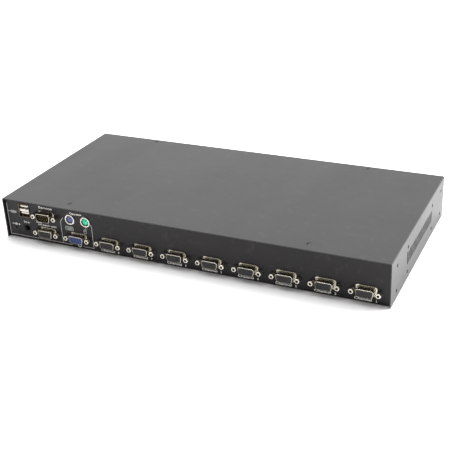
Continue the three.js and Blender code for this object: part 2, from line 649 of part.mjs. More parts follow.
const onMainBoard = MAIN_TOP + GAP;
const boardGap = [onMainBoard, CONSOLE_BOARD.bottom - GAP];
const spacer = geometryOf(rodZ(2.9, boardGap, 0, 0, undefined, 6));
[[-194, -82], [-100, -82], [-194, -43], [-100, -43]].forEach(([x, y], i) =>
  place(`board_spacer_${i + 1}`, spacer, "aluminium", [x, y, 0]),
);
place("board_link", geometryOf(box([-170, -130], [-47, -42], boardGap)), "black");
place("buzzer", geometryOf(rodZ(6, [0, 8.5], 0, 0, undefined, 16)), "black", [130, -12, onMainBoard]);
place("regulator_heat_sink", geometryOf(heatSinkSolid()), "aluminium", [-110, -8, onMainBoard]);

const button = geometryOf(buttonSolid());
portNumbers.forEach((n) => place(`select_button_${n}`, button, "button", [buttonX(n), 0, BUTTON_ROW.z]));
place("light_guide", geometryOf(lightGuideSolid()), "clear");
place("bank_display", geometryOf(displaySolid()), "display");
const powerReach = [BUTTON_BOARD_FRONT + GAP, DEPTH / 2 - 0.1];
const powerLight = rodY(POWER_LIGHT.radius, powerReach, POWER_LIGHT.x, POWER_LIGHT.z, LIGHT_SIDES);
place("power_indicator", geometryOf(powerLight), "clear");

export default assembly;
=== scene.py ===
"""Looks for a one-unit rack-mount keyboard, video and mouse switch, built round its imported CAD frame.

Pieces are drawn in millimetres in the shared frame and turned into metres as they become objects.
-Y is the connector side, +Y the button side, +X to the right for someone who faces the connectors.
"""

import itertools
import math

import bmesh
import bpy
from mathutils import Euler, Matrix, Vector


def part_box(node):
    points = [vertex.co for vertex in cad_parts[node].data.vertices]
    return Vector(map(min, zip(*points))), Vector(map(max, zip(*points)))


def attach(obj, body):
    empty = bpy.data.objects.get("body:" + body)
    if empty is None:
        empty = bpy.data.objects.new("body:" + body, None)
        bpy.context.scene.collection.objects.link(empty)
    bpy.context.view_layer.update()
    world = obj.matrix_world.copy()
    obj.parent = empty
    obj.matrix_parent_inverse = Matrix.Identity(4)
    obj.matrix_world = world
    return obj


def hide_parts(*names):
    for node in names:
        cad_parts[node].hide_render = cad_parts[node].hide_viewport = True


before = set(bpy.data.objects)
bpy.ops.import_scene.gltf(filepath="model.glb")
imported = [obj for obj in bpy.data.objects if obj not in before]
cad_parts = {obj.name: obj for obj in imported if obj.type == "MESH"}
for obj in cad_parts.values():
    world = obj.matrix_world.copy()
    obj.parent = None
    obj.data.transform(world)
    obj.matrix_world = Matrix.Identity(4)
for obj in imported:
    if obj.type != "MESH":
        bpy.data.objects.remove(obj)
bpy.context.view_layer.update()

MM = 0.001
ROOT = "chassis"
PORTS = range(1, 9)
CORNERS = range(1, 5)  # numbers of the cover screws and of the board spacers


def span(node):
    """The lowest and highest corner of a CAD node, in millimetres."""
    low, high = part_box(node)
    return low / MM, high / MM


def middle(node):
    low, high = span(node)
    return (low + high) / 2


def spot(node):
    """A node's middle seen from the connector side, as (x, z)."""
    centre = middle(node)
    return centre.x, centre.z


# ---------------------------------------------------------------- sizes

COVER_LOW, COVER_HIGH = span("top_cover")
TRAY_LOW, TRAY_HIGH = span("base_tray")
FASCIA_LOW, FASCIA_HIGH = span("front_fascia")
WALL_Y = TRAY_LOW.y  # outside of the connector wall
BUTTON_WALL_Y = TRAY_HIGH.y  # outside of the wall behind the fascia
SHEET = 1.0
BEND = 1.6  # outside radius of a fold
D_SLOPE = math.radians(10)
D_CUTOUT = (21.6, 11.2, 2.8)  # width, height, corner radius
D_SOCKET = (17.3, 8.0, 2.2)
D_PLUG = (17.8, 9.2, 2.6)
D_STAND_OUT = 5.9
FLANGE_Y = 1.3  # front of a connector's flange, behind the wall's outer face
FLANGE_THICKNESS = 0.8
SHELL_WALL = 0.5
SHELL_ROOT = 0.5  # fillet between a shell and its flange
RIM_EASE = (0.44, 0.2)  # how far the rounding of a shell's rim reaches across its wall and back along it
JACK_SPREAD = 12.495
JACK_FLATS = 4.75
JACK_STAND_OUT = 5.7
FLANGE_SIZE = (30.8, 12.5, 1.6)
SHELL_BACK = FLANGE_Y + FLANGE_THICKNESS
INSULATOR_GAP = 0.3  # between a flange and the moulded block behind it
JACK_HOLE = 1.65  # radii of the holes in the connector wall
DIN_HOLE = 5.9
DC_HOLE = 4.15
RESET_HOLE = 1.2
DIN_RISE = 7  # height of a mini-DIN socket's axis over its shield's underside
DIN_BLOCK_Y = 7.6  # where its solid block starts, behind the wall's outer face
DIN_WALL = 2.3
EAR_HOLE_RADIUS = 1.8
EAR_HOLES = [(y, z) for y in (-81, -44, 49.5, 86.5) for z in (8, 33.5)]
VENT_COUNT, VENT_PITCH, VENT_WIDTH = 20, 4.8, 2.6
VENT_SPAN = (16, 28.7)
VENT_MIDDLE = 0.5
SCREW_HEAD = 2.5  # radius
STANDOFF_HEAD = 2.5  # radius of the hexagon under the tray
KEY_CAP = (12, 7)
KEY_WINDOW = (12.6, 7.6, 1.5)  # width, height, corner radius
PIPE_HOLE = 1.7  # radii of the holes in the fascia
POWER_HOLE = 1.8
LIGHT_SPREAD = 5  # between the two light pipes over a button
SEGMENT_LENGTH = 3.8  # of the display's figure
USB_FLOORS = (1.0, 8.7)  # each port's floor, above the shell's underside
USB_PORT_HEIGHT = 5.2
USB_TONGUE = 1.75
USB_TONGUE_DROP = 1.5  # from a port's roof to its tongue
USB_TONGUE_DEPTH = 2.2  # from the shell's mouth
USB_TONGUE_WIDTH = 11.1
USB_DIVIDER_DEPTH = 1.0
USB_WALL = 0.35
USB_BLOCK = 6  # depth of the moulding at the back of the shell

# ---------------------------------------------------------------- outlines, as lists of points


def arc(centre, radius, start, end, steps):
    """Points on an arc between two angles in degrees."""
    turns = [math.radians(start + (end - start) * i / steps) for i in range(steps + 1)]
    return [(centre[0] + radius * math.cos(t), centre[1] + radius * math.sin(t)) for t in turns]


def circle(centre, radius, steps=32):
    return arc(centre, radius, 0, 360, steps)[:-1]


def rounded(corners, radius, steps=6):
    """A convex anticlockwise outline with every corner rounded."""
    points = []
    for i, corner in enumerate(corners):
        here = Vector(corner)
        before = (Vector(corners[i - 1]) - here).normalized()
        after = (Vector(corners[(i + 1) % len(corners)]) - here).normalized()
        half = math.acos(max(-1.0, min(1.0, before.dot(after)))) / 2
        centre = here + (before + after).normalized() * radius / math.sin(half)
        start = (here + before * radius / math.tan(half) - centre)
        turn = math.pi - 2 * half
        for k in range(steps + 1):
            angle = math.atan2(start.y, start.x) + turn * k / steps
            points.append((centre.x + radius * math.cos(angle), centre.y + radius * math.sin(angle)))
    return points


def rectangle(x, y, radius=0.0, steps=6):
    corners = [(x[0], y[0]), (x[1], y[0]), (x[1], y[1]), (x[0], y[1])]
    return rounded(corners, radius, steps) if radius else corners


def around(centre, width, height, radius=0.0, steps=6):
    x, y = centre
    return rectangle((x - width / 2, x + width / 2), (y - height / 2, y + height / 2), radius, steps)


def d_outline(size, grow=0.0, centre=(0, 0), steps=8):
    """The D of a D-shaped connector, wide side up, grown by a margin all round."""
    width, height, radius = size
    h = height / 2 + grow
    top = width / 2 + grow
    bottom = top - 2 * h * math.tan(D_SLOPE)
    corners = [(-bottom, -h), (bottom, -h), (top, h), (-top, h)]
    x, z = centre
    return [(x + u, z + v) for u, v in rounded(corners, max(radius + grow, 0.2), steps)]


# ---------------------------------------------------------------- mesh building


def loft(mesh, rings, closed=False):
    """Skins rings with the same number of points. Without closed, the first and last ring are capped."""
    rows = [[mesh.verts.new(point) for point in ring] for ring in rings]
    count = len(rows[0])
    for a, b in zip(rows, rows[1:] + (rows[:1] if closed else [])):
        for i in range(count):
            j = (i + 1) % count
            mesh.faces.new((a[i], a[j], b[j], b[i]))
    if not closed:
        mesh.faces.new(rows[0][::-1])
        mesh.faces.new(rows[-1])


def ring_y(outline, y):
    """An outline drawn in X and Z, placed at a depth."""
    return [(u, y, v) for u, v in outline]


def prism_y(mesh, outline, y):
    loft(mesh, [ring_y(outline, y[0]), ring_y(outline, y[1])])


def prism_x(mesh, outline, x):
    loft(mesh, [[(side, u, v) for u, v in outline] for side in x])


def prism_z(mesh, outline, z):
    loft(mesh, [[(u, v, side) for u, v in outline] for side in z])


def block(mesh, x, y, z, edge=0.0):
    """A box whose upright edges are rounded when an edge radius is given."""
    prism_z(mesh, rectangle(x, y, edge, 3), z)


def tube_y(mesh, centre, size, path, radius, share=0.0, steps=6, closed=False):
    """A rounded box along Y from a path of (grow, y). A share of the growth goes to its corner radius."""
    rings = []
    for grow, y in path:
        corner = max(radius + share * grow, min(radius, 0.3))
        rings.append(ring_y(around(centre, size[0] + 2 * grow, size[1] + 2 * grow, corner, steps), y))
    loft(mesh, rings, closed)


def lathe_y(mesh, profile, centre=(0, 0), steps=40):
    """Turns a closed profile of (radius, y) about an axis along Y."""
    rings = [ring_y(circle(centre, radius, steps), y) for radius, y in profile]
    loft(mesh, rings, closed=True)


def turned_y(mesh, profile, centre=(0, 0), steps=40):
    """Turns an open profile of (radius, y) about an axis along Y, with flat ends."""
    loft(mesh, [ring_y(circle(centre, radius, steps), y) for radius, y in profile])


def turned_z(mesh, profile, centre=(0, 0), steps=40):
    """Turns an open profile of (radius, z) about an upright axis, with flat ends."""
    loft(mesh, [[(u, v, z) for u, v in circle(centre, radius, steps)] for radius, z in profile])


def shifted(point):
    return Matrix.Translation(Vector(point))


def solid(draw, *details):
    """A mesh with its faces turned outwards, drawn by a function."""
    mesh = bmesh.new()
    draw(mesh, *details)
    bmesh.ops.recalc_face_normals(mesh, faces=mesh.faces)
    return mesh


def new_object(name, mesh):
    data = bpy.data.meshes.new(name)
    mesh.to_mesh(data)
    mesh.free()
    obj = bpy.data.objects.new(name, data)
    bpy.context.collection.objects.link(obj)
    return obj


def apply_modifiers(obj):
    depsgraph = bpy.context.evaluated_depsgraph_get()
    data = bpy.data.meshes.new_from_object(obj.evaluated_get(depsgraph))
    obj.modifiers.clear()
    obj.data = data


def carve(mesh, cutters):
    """The mesh with the closed cutters taken out of it."""
    target = new_object("target", mesh)
    tool = new_object("tool", cutters)
    cut = target.modifiers.new("cut", "BOOLEAN")
    cut.operation = "DIFFERENCE"
    cut.solver = "EXACT"
    cut.object = tool
    apply_modifiers(target)
    result = bmesh.new()
    result.from_mesh(target.data)
    bpy.data.objects.remove(target)
    bpy.data.objects.remove(tool)
    return result


def sharpen(mesh, limit=math.radians(32)):
    """Smooth faces that meet at a hard edge wherever they turn by more than the limit."""
    for face in mesh.faces:
        face.smooth = True
    for edge in mesh.edges:
        edge.smooth = len(edge.link_faces) == 2 and edge.calc_face_angle() < limit


def piece(name, shape, material, body=ROOT, stands_for=(), at=(0, 0, 0), edge=0.0):
    """A finished piece of the object, from a mesh in millimetres or the function that draws it.

    Edge is the width of its eased edges.
    """
    mesh = solid(shape) if callable(shape) else shape
    mesh.transform(Matrix.Scale(MM, 4) @ shifted(at))
    sharpen(mesh)
    obj = new_object(name, mesh)
    obj.data.materials.append(material)
    if edge:
        bevel = obj.modifiers.new("eased edges", "BEVEL")
        bevel.width = edge * MM
        bevel.segments = 2
        bevel.limit_method = "ANGLE"
        bevel.angle_limit = math.radians(40)
        bevel.miter_outer = "MITER_ARC"
    weighted = obj.modifiers.new("flat faces stay flat", "WEIGHTED_NORMAL")
    weighted.keep_sharp = True
    apply_modifiers(obj)
    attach(obj, body)
    if stands_for:
        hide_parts(*([stands_for] if isinstance(stands_for, str) else stands_for))
    return obj


# ---------------------------------------------------------------- materials


class Shading:
    """A material's node tree, with short ways to add to it."""

    def __init__(self, name):
        self.material = bpy.data.materials.new(name)
        self.material.use_nodes = True
        self.tree = self.material.node_tree
        self.shader = self.tree.nodes["Principled BSDF"]
        self.place = self.add("ShaderNodeTexCoord").outputs["Object"]

    def add(self, kind, sockets=None, **settings):
        node = self.tree.nodes.new(kind)
        for key, value in settings.items():
            setattr(node, key, value)
        for key, value in (sockets or {}).items():
            self.feed(node.inputs[key], value)
        return node

    def feed(self, socket, value):
        if isinstance(value, bpy.types.NodeSocket):
            self.tree.links.new(value, socket)
        else:
            socket.default_value = value

    def set(self, **values):
        """Sets the shader's sockets; an underscore in a name stands for a space."""
        for key, value in values.items():
            self.feed(self.shader.inputs[key.replace("_", " ")], value)

    def noise(self, size, detail=3.0, stretch=(1, 1, 1), roughness=0.5):
        """Noise from 0 to 1 whose features are about this many millimetres across."""
        stretched = self.add("ShaderNodeVectorMath", {0: self.place, 1: stretch}, operation="MULTIPLY")
        sockets = {"Vector": stretched.outputs[0], "Scale": 1 / (size * MM)}
        sockets |= {"Detail": detail, "Roughness": roughness}
        return self.add("ShaderNodeTexNoise", sockets).outputs["Fac"]

    def cells(self, size, feature="F1"):
        sockets = {"Vector": self.place, "Scale": 1 / (size * MM)}
        return self.add("ShaderNodeTexVoronoi", sockets, feature=feature).outputs["Distance"]

    def math(self, operation, a, b=0.0, clamp=False):
        return self.add("ShaderNodeMath", {0: a, 1: b}, operation=operation, use_clamp=clamp).outputs[0]

    def between(self, value, low, high, start=0.3, end=0.7):
        """A number that goes from low to high as value goes from start to end."""
        sockets = {"Value": value, "From Min": start, "From Max": end, "To Min": low, "To Max": high}
        return self.add("ShaderNodeMapRange", sockets).outputs["Result"]

    def blend(self, factor, a, b):
        """A colour between a and b."""
        node = self.add("ShaderNodeMix", data_type="RGBA")
        for index, value in ((0, factor), (6, a), (7, b)):
            self.feed(node.inputs[index], value)
        return node.outputs[2]

    def bump(self, height, depth, strength=1.0, over=None):
        """Relief of the given depth in millimetres."""
        sockets = {"Height": height, "Distance": depth * MM, "Strength": strength}
        if over is not None:
            sockets["Normal"] = over
        return self.add("ShaderNodeBump", sockets).outputs["Normal"]


def rgb(red, green, blue):
    return (red, green, blue, 1.0)


def scaled(colour, factor):
    return rgb(*(min(1.0, channel * factor) for channel in colour[:3]))


def powder_coat(name, colour, roughness, specular=0.5, grain=0.55):
    """Satin powder coat: an orange-peel skin, faint mottling, handling marks and a little dust."""
    s = Shading(name)
    s.set(Specular_IOR_Level=specular)
    mottle = s.noise(38, 3)
    speck = s.noise(0.35, 2)
    base = s.blend(s.between(mottle, 0, 1), scaled(colour, 0.86), scaled(colour, 1.14))
    base = s.blend(s.between(speck, 0, 0.3, 0.55, 0.75), base, scaled(colour, 1.9))
    dust = s.between(s.noise(9, 5, roughness=0.65), 0, 0.05, 0.55, 0.8)
    s.set(Base_Color=s.blend(dust, base, rgb(0.35, 0.33, 0.30)))
    smear = s.between(s.noise(55, 4, (1, 0.35, 1)), roughness - 0.035, roughness + 0.045)
    fine = s.between(s.noise(1.2, 2), -0.02, 0.02)
    s.set(Roughness=s.math("ADD", smear, fine))
    peel = s.bump(s.noise(grain, 2, roughness=0.4), 0.02, 0.5)
    s.set(Normal=s.bump(s.noise(grain * 4, 1), 0.02, 0.35, peel))
    return s.material


PAINTED_BARREL_SHADE = 0.8  # painted shade on a plate's barrel behind its rim: the share of its colour that is kept
PAINTED_SIDE_SHADE = 0.28  # painted shade on its sides that face down and to the left, as the share of its colour that is kept
LIT_DIRECTION = (0.6, 0, 0.8)  # the direction of the light, which those painted-shade sides face away from


def plated(name, colour, roughness=0.24, streak=(1, 1, 6), painted_shade_behind=None):
    """Bright plate over stamped steel, with drawing streaks and slight tarnish.

    An optional place along Y marks where painted shade starts: behind it the plate is painted darker than on
    the rim in front of it. Such a plate also has painted shade on its sides that face down and to the left,
    away from the light.
    """
    s = Shading(name)
    streaks = s.noise(0.5, 3, streak)
    tarnish = s.noise(3.5, 4, roughness=0.6)
    base = s.blend(s.between(tarnish, 0, 1, 0.35, 0.75), colour, scaled(colour, 0.68))
    if painted_shade_behind is not None:
        along = s.add("ShaderNodeSeparateXYZ", {0: s.place}).outputs["Y"]
        # painted shade: the plate behind the rim is painted darker
        behind = s.between(along, 0, 1, painted_shade_behind * MM, (painted_shade_behind + 0.5) * MM)
        base = s.blend(behind, base, scaled(colour, PAINTED_BARREL_SHADE))
        # painted shade: faces turned away from the light direction are painted darker
        outward = s.add("ShaderNodeTexCoord").outputs["Normal"]
        facing = s.add("ShaderNodeVectorMath", {0: outward, 1: LIT_DIRECTION}, operation="DOT_PRODUCT")
        side_shade = s.between(facing.outputs["Value"], 1, 0, -0.12, 0.1)
        base = s.blend(side_shade, base, scaled(colour, PAINTED_SIDE_SHADE))
    s.set(Base_Color=base, Metallic=1.0)
    drawn = s.between(streaks, roughness - 0.05, roughness + 0.09)
    s.set(Roughness=s.math("ADD", drawn, s.between(tarnish, 0, 0.05)))
    s.set(Normal=s.bump(streaks, 0.004, 0.5))
    return s.material


def moulded(name, colour, roughness=0.42, grain=0.22, depth=0.006):
    """Injection-moulded plastic: a fine spark-eroded skin, flow variation and a hint of gloss."""
    s = Shading(name)
    flow = s.noise(6, 3, roughness=0.6)
    base = s.blend(s.between(flow, 0, 1), scaled(colour, 0.86), scaled(colour, 1.12))
    speck = s.between(s.noise(0.12, 2), 0, 0.18, 0.56, 0.72)
    s.set(Base_Color=s.blend(speck, base, scaled(colour, 1.5)))
    s.set(Roughness=s.between(s.noise(1.8, 3), roughness - 0.06, roughness + 0.08))
    s.set(Normal=s.bump(s.noise(grain, 2), depth, 0.7))
    return s.material


def printed_ink(name, colour):
    """Screen-printed ink: slightly uneven cover, with worn spots."""
    s = Shading(name)
    cover = s.between(s.noise(0.45, 3), 0, 1, 0.28, 0.46)
    s.set(Base_Color=s.blend(cover, scaled(colour, 0.72), colour), Roughness=0.55)
    s.set(Normal=s.bump(s.noise(0.2, 2), 0.004, 0.6))
    return s.material


def studio_floor(name):
    s = Shading(name)
    tone = s.between(s.noise(240, 3), 0, 1)
    s.set(Base_Color=s.blend(tone, rgb(0.90, 0.90, 0.90), rgb(0.93, 0.93, 0.93)), Roughness=0.6)
    s.set(Normal=s.bump(s.noise(2.5, 2), 0.02, 0.2))
    return s.material


def ribbon_vinyl(name):
    """Grey vinyl with a ridge for each conductor."""
    s = Shading(name)
    flow = s.noise(8, 3)
    s.set(Base_Color=s.blend(flow, rgb(0.26, 0.26, 0.25), rgb(0.33, 0.33, 0.32)), Roughness=0.42)
    across = s.add("ShaderNodeSeparateXYZ", {0: s.place}).outputs["X"]
    ridges = s.math("ABSOLUTE", s.math("SINE", s.math("MULTIPLY", across, math.pi / (1.27 * MM))))
    s.set(Normal=s.bump(ridges, 0.25, 0.8))
    return s.material


def circuit_board(name):
    """Green solder mask over copper: straight traces, tinned pads and a slight weave."""
    s = Shading(name)
    weave = s.noise(0.6, 2, (1, 6, 1))
    base = s.blend(s.between(s.noise(14, 3), 0, 1), rgb(0.006, 0.075, 0.022), rgb(0.012, 0.11, 0.034))
    sockets = {"Vector": s.place, "Scale": 1 / MM, "Mortar Size": 0.16, "Mortar Smooth": 0.2}
    sockets |= {"Brick Width": 9.0, "Row Height": 1.4, "Bias": 0.0}
    traces = s.add("ShaderNodeTexBrick", sockets).outputs["Fac"]
    with_traces = s.blend(s.math("MULTIPLY", traces, 0.75), base, rgb(0.03, 0.24, 0.07))
    pads = s.math("LESS_THAN", s.cells(2.6), 0.16)
    s.set(Base_Color=s.blend(pads, with_traces, rgb(0.62, 0.60, 0.52)), Metallic=pads)
    s.set(Roughness=s.between(weave, 0.26, 0.38))
    relief = s.bump(traces, 0.03, 0.7)
    s.set(Normal=s.bump(weave, 0.008, 0.6, relief))
    return s.material


TIN = rgb(0.86, 0.80, 0.66)
COVER_PAINT = powder_coat("cover powder coat", rgb(0.013, 0.013, 0.014), 0.34)
WALL_PAINT = powder_coat("wall powder coat", rgb(0.0085, 0.0065, 0.0080), 0.38, 0.265)
TIN_PLATE = plated("tin plate", TIN, 0.13)
# tin plate with painted shade on a shell's barrel and on its lower and left sides
SHADE_PAINTED_TIN = plated("drawn tin plate", TIN, 0.13, painted_shade_behind=WALL_Y - D_STAND_OUT + 0.4)
NICKEL = plated("nickel plate", rgb(0.88, 0.84, 0.74), 0.2, (1, 3, 1))
BLACK_OXIDE = plated("black oxide steel", rgb(0.075, 0.075, 0.08), 0.34)
# dark steel in the jack screws' bores: painted shade for the depth of the holes
BORE_SHADE_STEEL = plated("thread in painted shade", rgb(0.10, 0.09, 0.08), 0.45)
BRASS_PLATE = plated("dull tin over brass", rgb(0.28, 0.215, 0.155), 0.3)
GOLD = plated("gold plate", rgb(0.46, 0.31, 0.13), 0.28)
# dark contacts deep in the socket holes: painted shade for their depth
SHADED_CONTACT_PLATE = plated("contact plate in painted shade", rgb(0.06, 0.062, 0.068), 0.32)
ALUMINIUM = plated("plain aluminium", rgb(0.72, 0.73, 0.74), 0.32)
FASCIA_PLASTIC = moulded("fascia moulding", rgb(0.020, 0.020, 0.022), 0.46, 0.35, 0.012)
BLACK_PLASTIC = moulded("black moulding", rgb(0.014, 0.013, 0.014), 0.42)
SOCKET_PLASTIC = moulded("socket moulding", rgb(0.0075, 0.0065, 0.0060), 0.5)
BLUE_PLASTIC = moulded("video blue moulding", rgb(0.018, 0.042, 0.185))
PURPLE_PLASTIC = moulded("keyboard purple moulding", rgb(0.125, 0.135, 0.37))
GREEN_PLASTIC = moulded("mouse green moulding", rgb(0.05, 0.68, 0.43))
CREAM_PLASTIC = moulded("cream moulding", rgb(0.88, 0.84, 0.77))
BUTTON_PLASTIC = moulded("key cap moulding", rgb(0.045, 0.045, 0.05), 0.38)
CLEAR_PLASTIC = moulded("frosted light guide", rgb(0.20, 0.26, 0.23), 0.3)
DISPLAY_PLASTIC = moulded("display window", rgb(0.035, 0.004, 0.004), 0.12, 0.5, 0.001)
SEGMENT_PLASTIC = moulded("display segments", rgb(0.16, 0.05, 0.045), 0.3)
INK = printed_ink("off-white ink", rgb(0.86, 0.84, 0.81))
LINE_INK = printed_ink("line ink", rgb(0.52, 0.50, 0.48))
FAINT_INK = printed_ink("grey ink", rgb(0.40, 0.44, 0.42))
SOLDER_MASK = circuit_board("circuit board")
RIBBON_VINYL = ribbon_vinyl("ribbon cable vinyl")
CHIP_EPOXY = moulded("chip epoxy", rgb(0.018, 0.018, 0.019), 0.5, 0.15, 0.004)
SLEEVE = moulded("capacitor sleeve", rgb(0.015, 0.03, 0.10), 0.3, 0.5, 0.002)
RESISTOR_BODY = moulded("resistor glaze", rgb(0.02, 0.02, 0.025), 0.25)

# ---------------------------------------------------------------- chassis


def folded_profile(points_and_arcs):
    """Joins single points and arcs into one outline."""
    return [point for part in points_and_arcs for point in part]


def cover_profile():
    """The cover's inverted U in X and Z."""
    x, top, foot = COVER_HIGH.x, COVER_HIGH.z, COVER_LOW.z
    inner = BEND - SHEET
    centre = (x - BEND, top - BEND)
    mirrored = (-centre[0], centre[1])
    return folded_profile([
        [(x, foot)],
        arc(centre, BEND, 0, 90, 8),
        arc(mirrored, BEND, 90, 180, 8),
        [(-x, foot), (-x + SHEET, foot)],
        arc(mirrored, inner, 180, 90, 8),
        arc(centre, inner, 90, 0, 8),
        [(x - SHEET, foot)],
    ])


def screw_places():
    return [middle(f"cover_screw_{n}") for n in CORNERS]


def vent_places():
    first = VENT_MIDDLE - (VENT_COUNT - 1) * VENT_PITCH / 2
    return [first + i * VENT_PITCH for i in range(VENT_COUNT)]


def cover_cutters(mesh):
    through = (COVER_LOW.x - 1, COVER_HIGH.x + 1)
    vent_middle, vent_height = sum(VENT_SPAN) / 2, VENT_SPAN[1] - VENT_SPAN[0]
    for y in vent_places():
        prism_x(mesh, around((y, vent_middle), VENT_WIDTH, vent_height, VENT_WIDTH / 2 - 0.02), through)
    for place in EAR_HOLES:
        prism_x(mesh, circle(place, EAR_HOLE_RADIUS), through)
    top, wide = COVER_HIGH.z, SCREW_HEAD + 0.25
    sink = [(1.7, top - SHEET - 1), (1.7, top - 1.1), (wide, top - 0.15), (wide, top + 1)]
    for place in screw_places():
        turned_z(mesh, sink, place.xy)


def build_cover():
    sheet = solid(prism_y, cover_profile(), (COVER_LOW.y, COVER_HIGH.y))
    carved = carve(sheet, solid(cover_cutters))
    piece("folded_top_cover", carved, COVER_PAINT, stands_for="top_cover", edge=0.06)


def tray_profile():
    """The tray's C in Y and Z: floor, two walls and the flanges under the cover."""
    back, front, top = TRAY_LOW.y, TRAY_HIGH.y, TRAY_HIGH.z
    rear_end, front_end = back + SHEET + 14, front - SHEET - 10
    inner = BEND - SHEET
    rear_high, rear_low = (back + BEND, top - BEND), (back + BEND, BEND)
    front_high, front_low = (front - BEND, top - BEND), (front - BEND, BEND)
    return folded_profile([
        [(rear_end, top)],
        arc(rear_high, BEND, 90, 180, 8),
        arc(rear_low, BEND, 180, 270, 8),
        arc(front_low, BEND, 270, 360, 8),
        arc(front_high, BEND, 0, 90, 8),
        [(front_end, top), (front_end, top - SHEET)],
        arc(front_high, inner, 90, 0, 8),
        arc(front_low, inner, 360, 270, 8),
        arc(rear_low, inner, 270, 180, 8),
        arc(rear_high, inner, 180, 90, 8),
        [(rear_end, top - SHEET)],
    ])


D_CONNECTORS = [f"computer_port_shell_{n}" for n in PORTS]
D_CONNECTORS += ["console_video_shell", "daisy_chain_shell", "serial_shell"]
BUTTONS = [f"select_button_{n}" for n in PORTS]
STANDOFFS = [(x, y) for x in (-185, -70, 70, 185) for y in (-75, 10)]


def window(mesh, node, gap, through):
    """A rounded window round a node."""
    low, high = span(node)
    prism_y(mesh, rectangle((low.x - gap, high.x + gap), (low.z - gap, high.z + gap), gap), through)


def din_centre(name):
    """A mini-DIN socket's axis, as (x, z)."""
    shield = f"{name}_shield"
    return middle(shield).x, span(shield)[0].z + DIN_RISE


def wall_cutters(mesh):
    through = (WALL_Y - 1, WALL_Y + SHEET + 0.5)
    for node in D_CONNECTORS:
        x, z = spot(node)
        prism_y(mesh, d_outline(D_CUTOUT, 0, (x, z)), through)
        for side in (-1, 1):
            prism_y(mesh, circle((x + side * JACK_SPREAD, z), JACK_HOLE, 20), through)
    for name in ("keyboard_port", "mouse_port"):
        prism_y(mesh, circle(din_centre(name), DIN_HOLE, 48), through)
    window(mesh, "usb_shell", 0.5, through)
    prism_y(mesh, circle(spot("dc_jack_pin"), DC_HOLE, 40), through)
    prism_y(mesh, circle(spot("reset_button"), RESET_HOLE, 20), through)


def pipe_places(node):
    """The two light pipes over a button, as (x, z)."""
    x, z = middle(node).x, middle("light_guide").z
    return [(x + side * LIGHT_SPREAD / 2, z) for side in (-1, 1)]


def front_windows(mesh, through):
    """Windows for buttons, light pipes, display and power light, in the wall and the fascia alike."""
    for node in BUTTONS:
        prism_y(mesh, around(spot(node), *KEY_WINDOW), through)
        for place in pipe_places(node):
            prism_y(mesh, circle(place, PIPE_HOLE, 24), through)
    window(mesh, "bank_display", 0.3, through)
    prism_y(mesh, circle(spot("power_indicator"), POWER_HOLE, 24), through)


def tray_cutters(mesh):
    wall_cutters(mesh)
    front_windows(mesh, (BUTTON_WALL_Y - SHEET - 0.5, BUTTON_WALL_Y + 1))
    for place in screw_places():
        turned_z(mesh, [(1.5, TRAY_HIGH.z - 2), (1.5, TRAY_HIGH.z + 1)], place.xy, 24)
    for place in STANDOFFS:
        prism_z(mesh, circle(place, STANDOFF_HEAD + 0.2, 6), (-1, 0.6))


def tray_fittings(mesh):
    """Side lips and the pressed-in standoffs, whose hexagonal heads show underneath."""
    for side in (-1, 1):
        across = sorted((side * TRAY_HIGH.x, side * (TRAY_HIGH.x - SHEET)))
        block(mesh, across, (TRAY_LOW.y + BEND, TRAY_HIGH.y - BEND), (SHEET, 4.5))
    board = span("main_board")[0].z
    for place in STANDOFFS:
        turned_z(mesh, [(2.9, SHEET), (2.9, board - 0.5), (2.6, board - 0.3)], place, 24)


def build_tray():
    sheet = solid(prism_x, tray_profile(), (TRAY_LOW.x, TRAY_HIGH.x))
    carved = carve(sheet, solid(tray_cutters))
    piece("folded_base_tray", carved, WALL_PAINT, stands_for="base_tray", edge=0.12)
    piece("tray_side_lips", tray_fittings, WALL_PAINT, edge=0.12)

    def heads(mesh):
        for place in STANDOFFS:
            prism_z(mesh, circle(place, STANDOFF_HEAD, 6), (0.06, 0.55))

    piece("standoff_heads", heads, ALUMINIUM, edge=0.08)


def build_fascia():
    outline = rectangle((FASCIA_LOW.x, FASCIA_HIGH.x), (FASCIA_LOW.z, FASCIA_HIGH.z), 0.8)
    plate = solid(prism_y, outline, (FASCIA_LOW.y, FASCIA_HIGH.y))
    windows = solid(front_windows, (FASCIA_LOW.y - 1, FASCIA_HIGH.y + 1))
    piece("moulded_fascia", carve(plate, windows), FASCIA_PLASTIC, stands_for="front_fascia", edge=0.12)


def cross_outline(length, width, centre):
    """The plus-shaped mouth of a cross recess: one arm's end, turned four times."""
    a, b = length / 2, width / 2
    arm = [(b, b), (b, a), (-b, a)]
    corners = []
    for _ in range(4):
        corners += arm
        arm = [(-y, x) for x, y in arm]
    return [(centre[0] + x, centre[1] + y) for x, y in corners]


def cross_recess(mesh, centre, *levels):
    """A cross recess through levels of (length, width, z)."""
    loft(mesh, [[(u, v, z) for u, v in cross_outline(length, width, centre)] for length, width, z in levels])


def build_cover_screws():
    for n, place in enumerate(screw_places(), 1):
        node = f"cover_screw_{n}"
        low, high = span(node)
        top = high.z - 0.02
        head = [(1.1, low.z), (1.2, low.z + 0.3), (1.2, top - 1.3)]
        head += [(SCREW_HEAD - 0.06, top - 0.12), (SCREW_HEAD - 0.2, top)]
        recess = solid(cross_recess, place.xy, (1.2, 0.3, top - 1.1), (2.7, 0.62, top + 0.1))
        carved = carve(solid(turned_z, head, place.xy), recess)
        piece(f"countersunk_screw_{n}", carved, BLACK_OXIDE, stands_for=node)


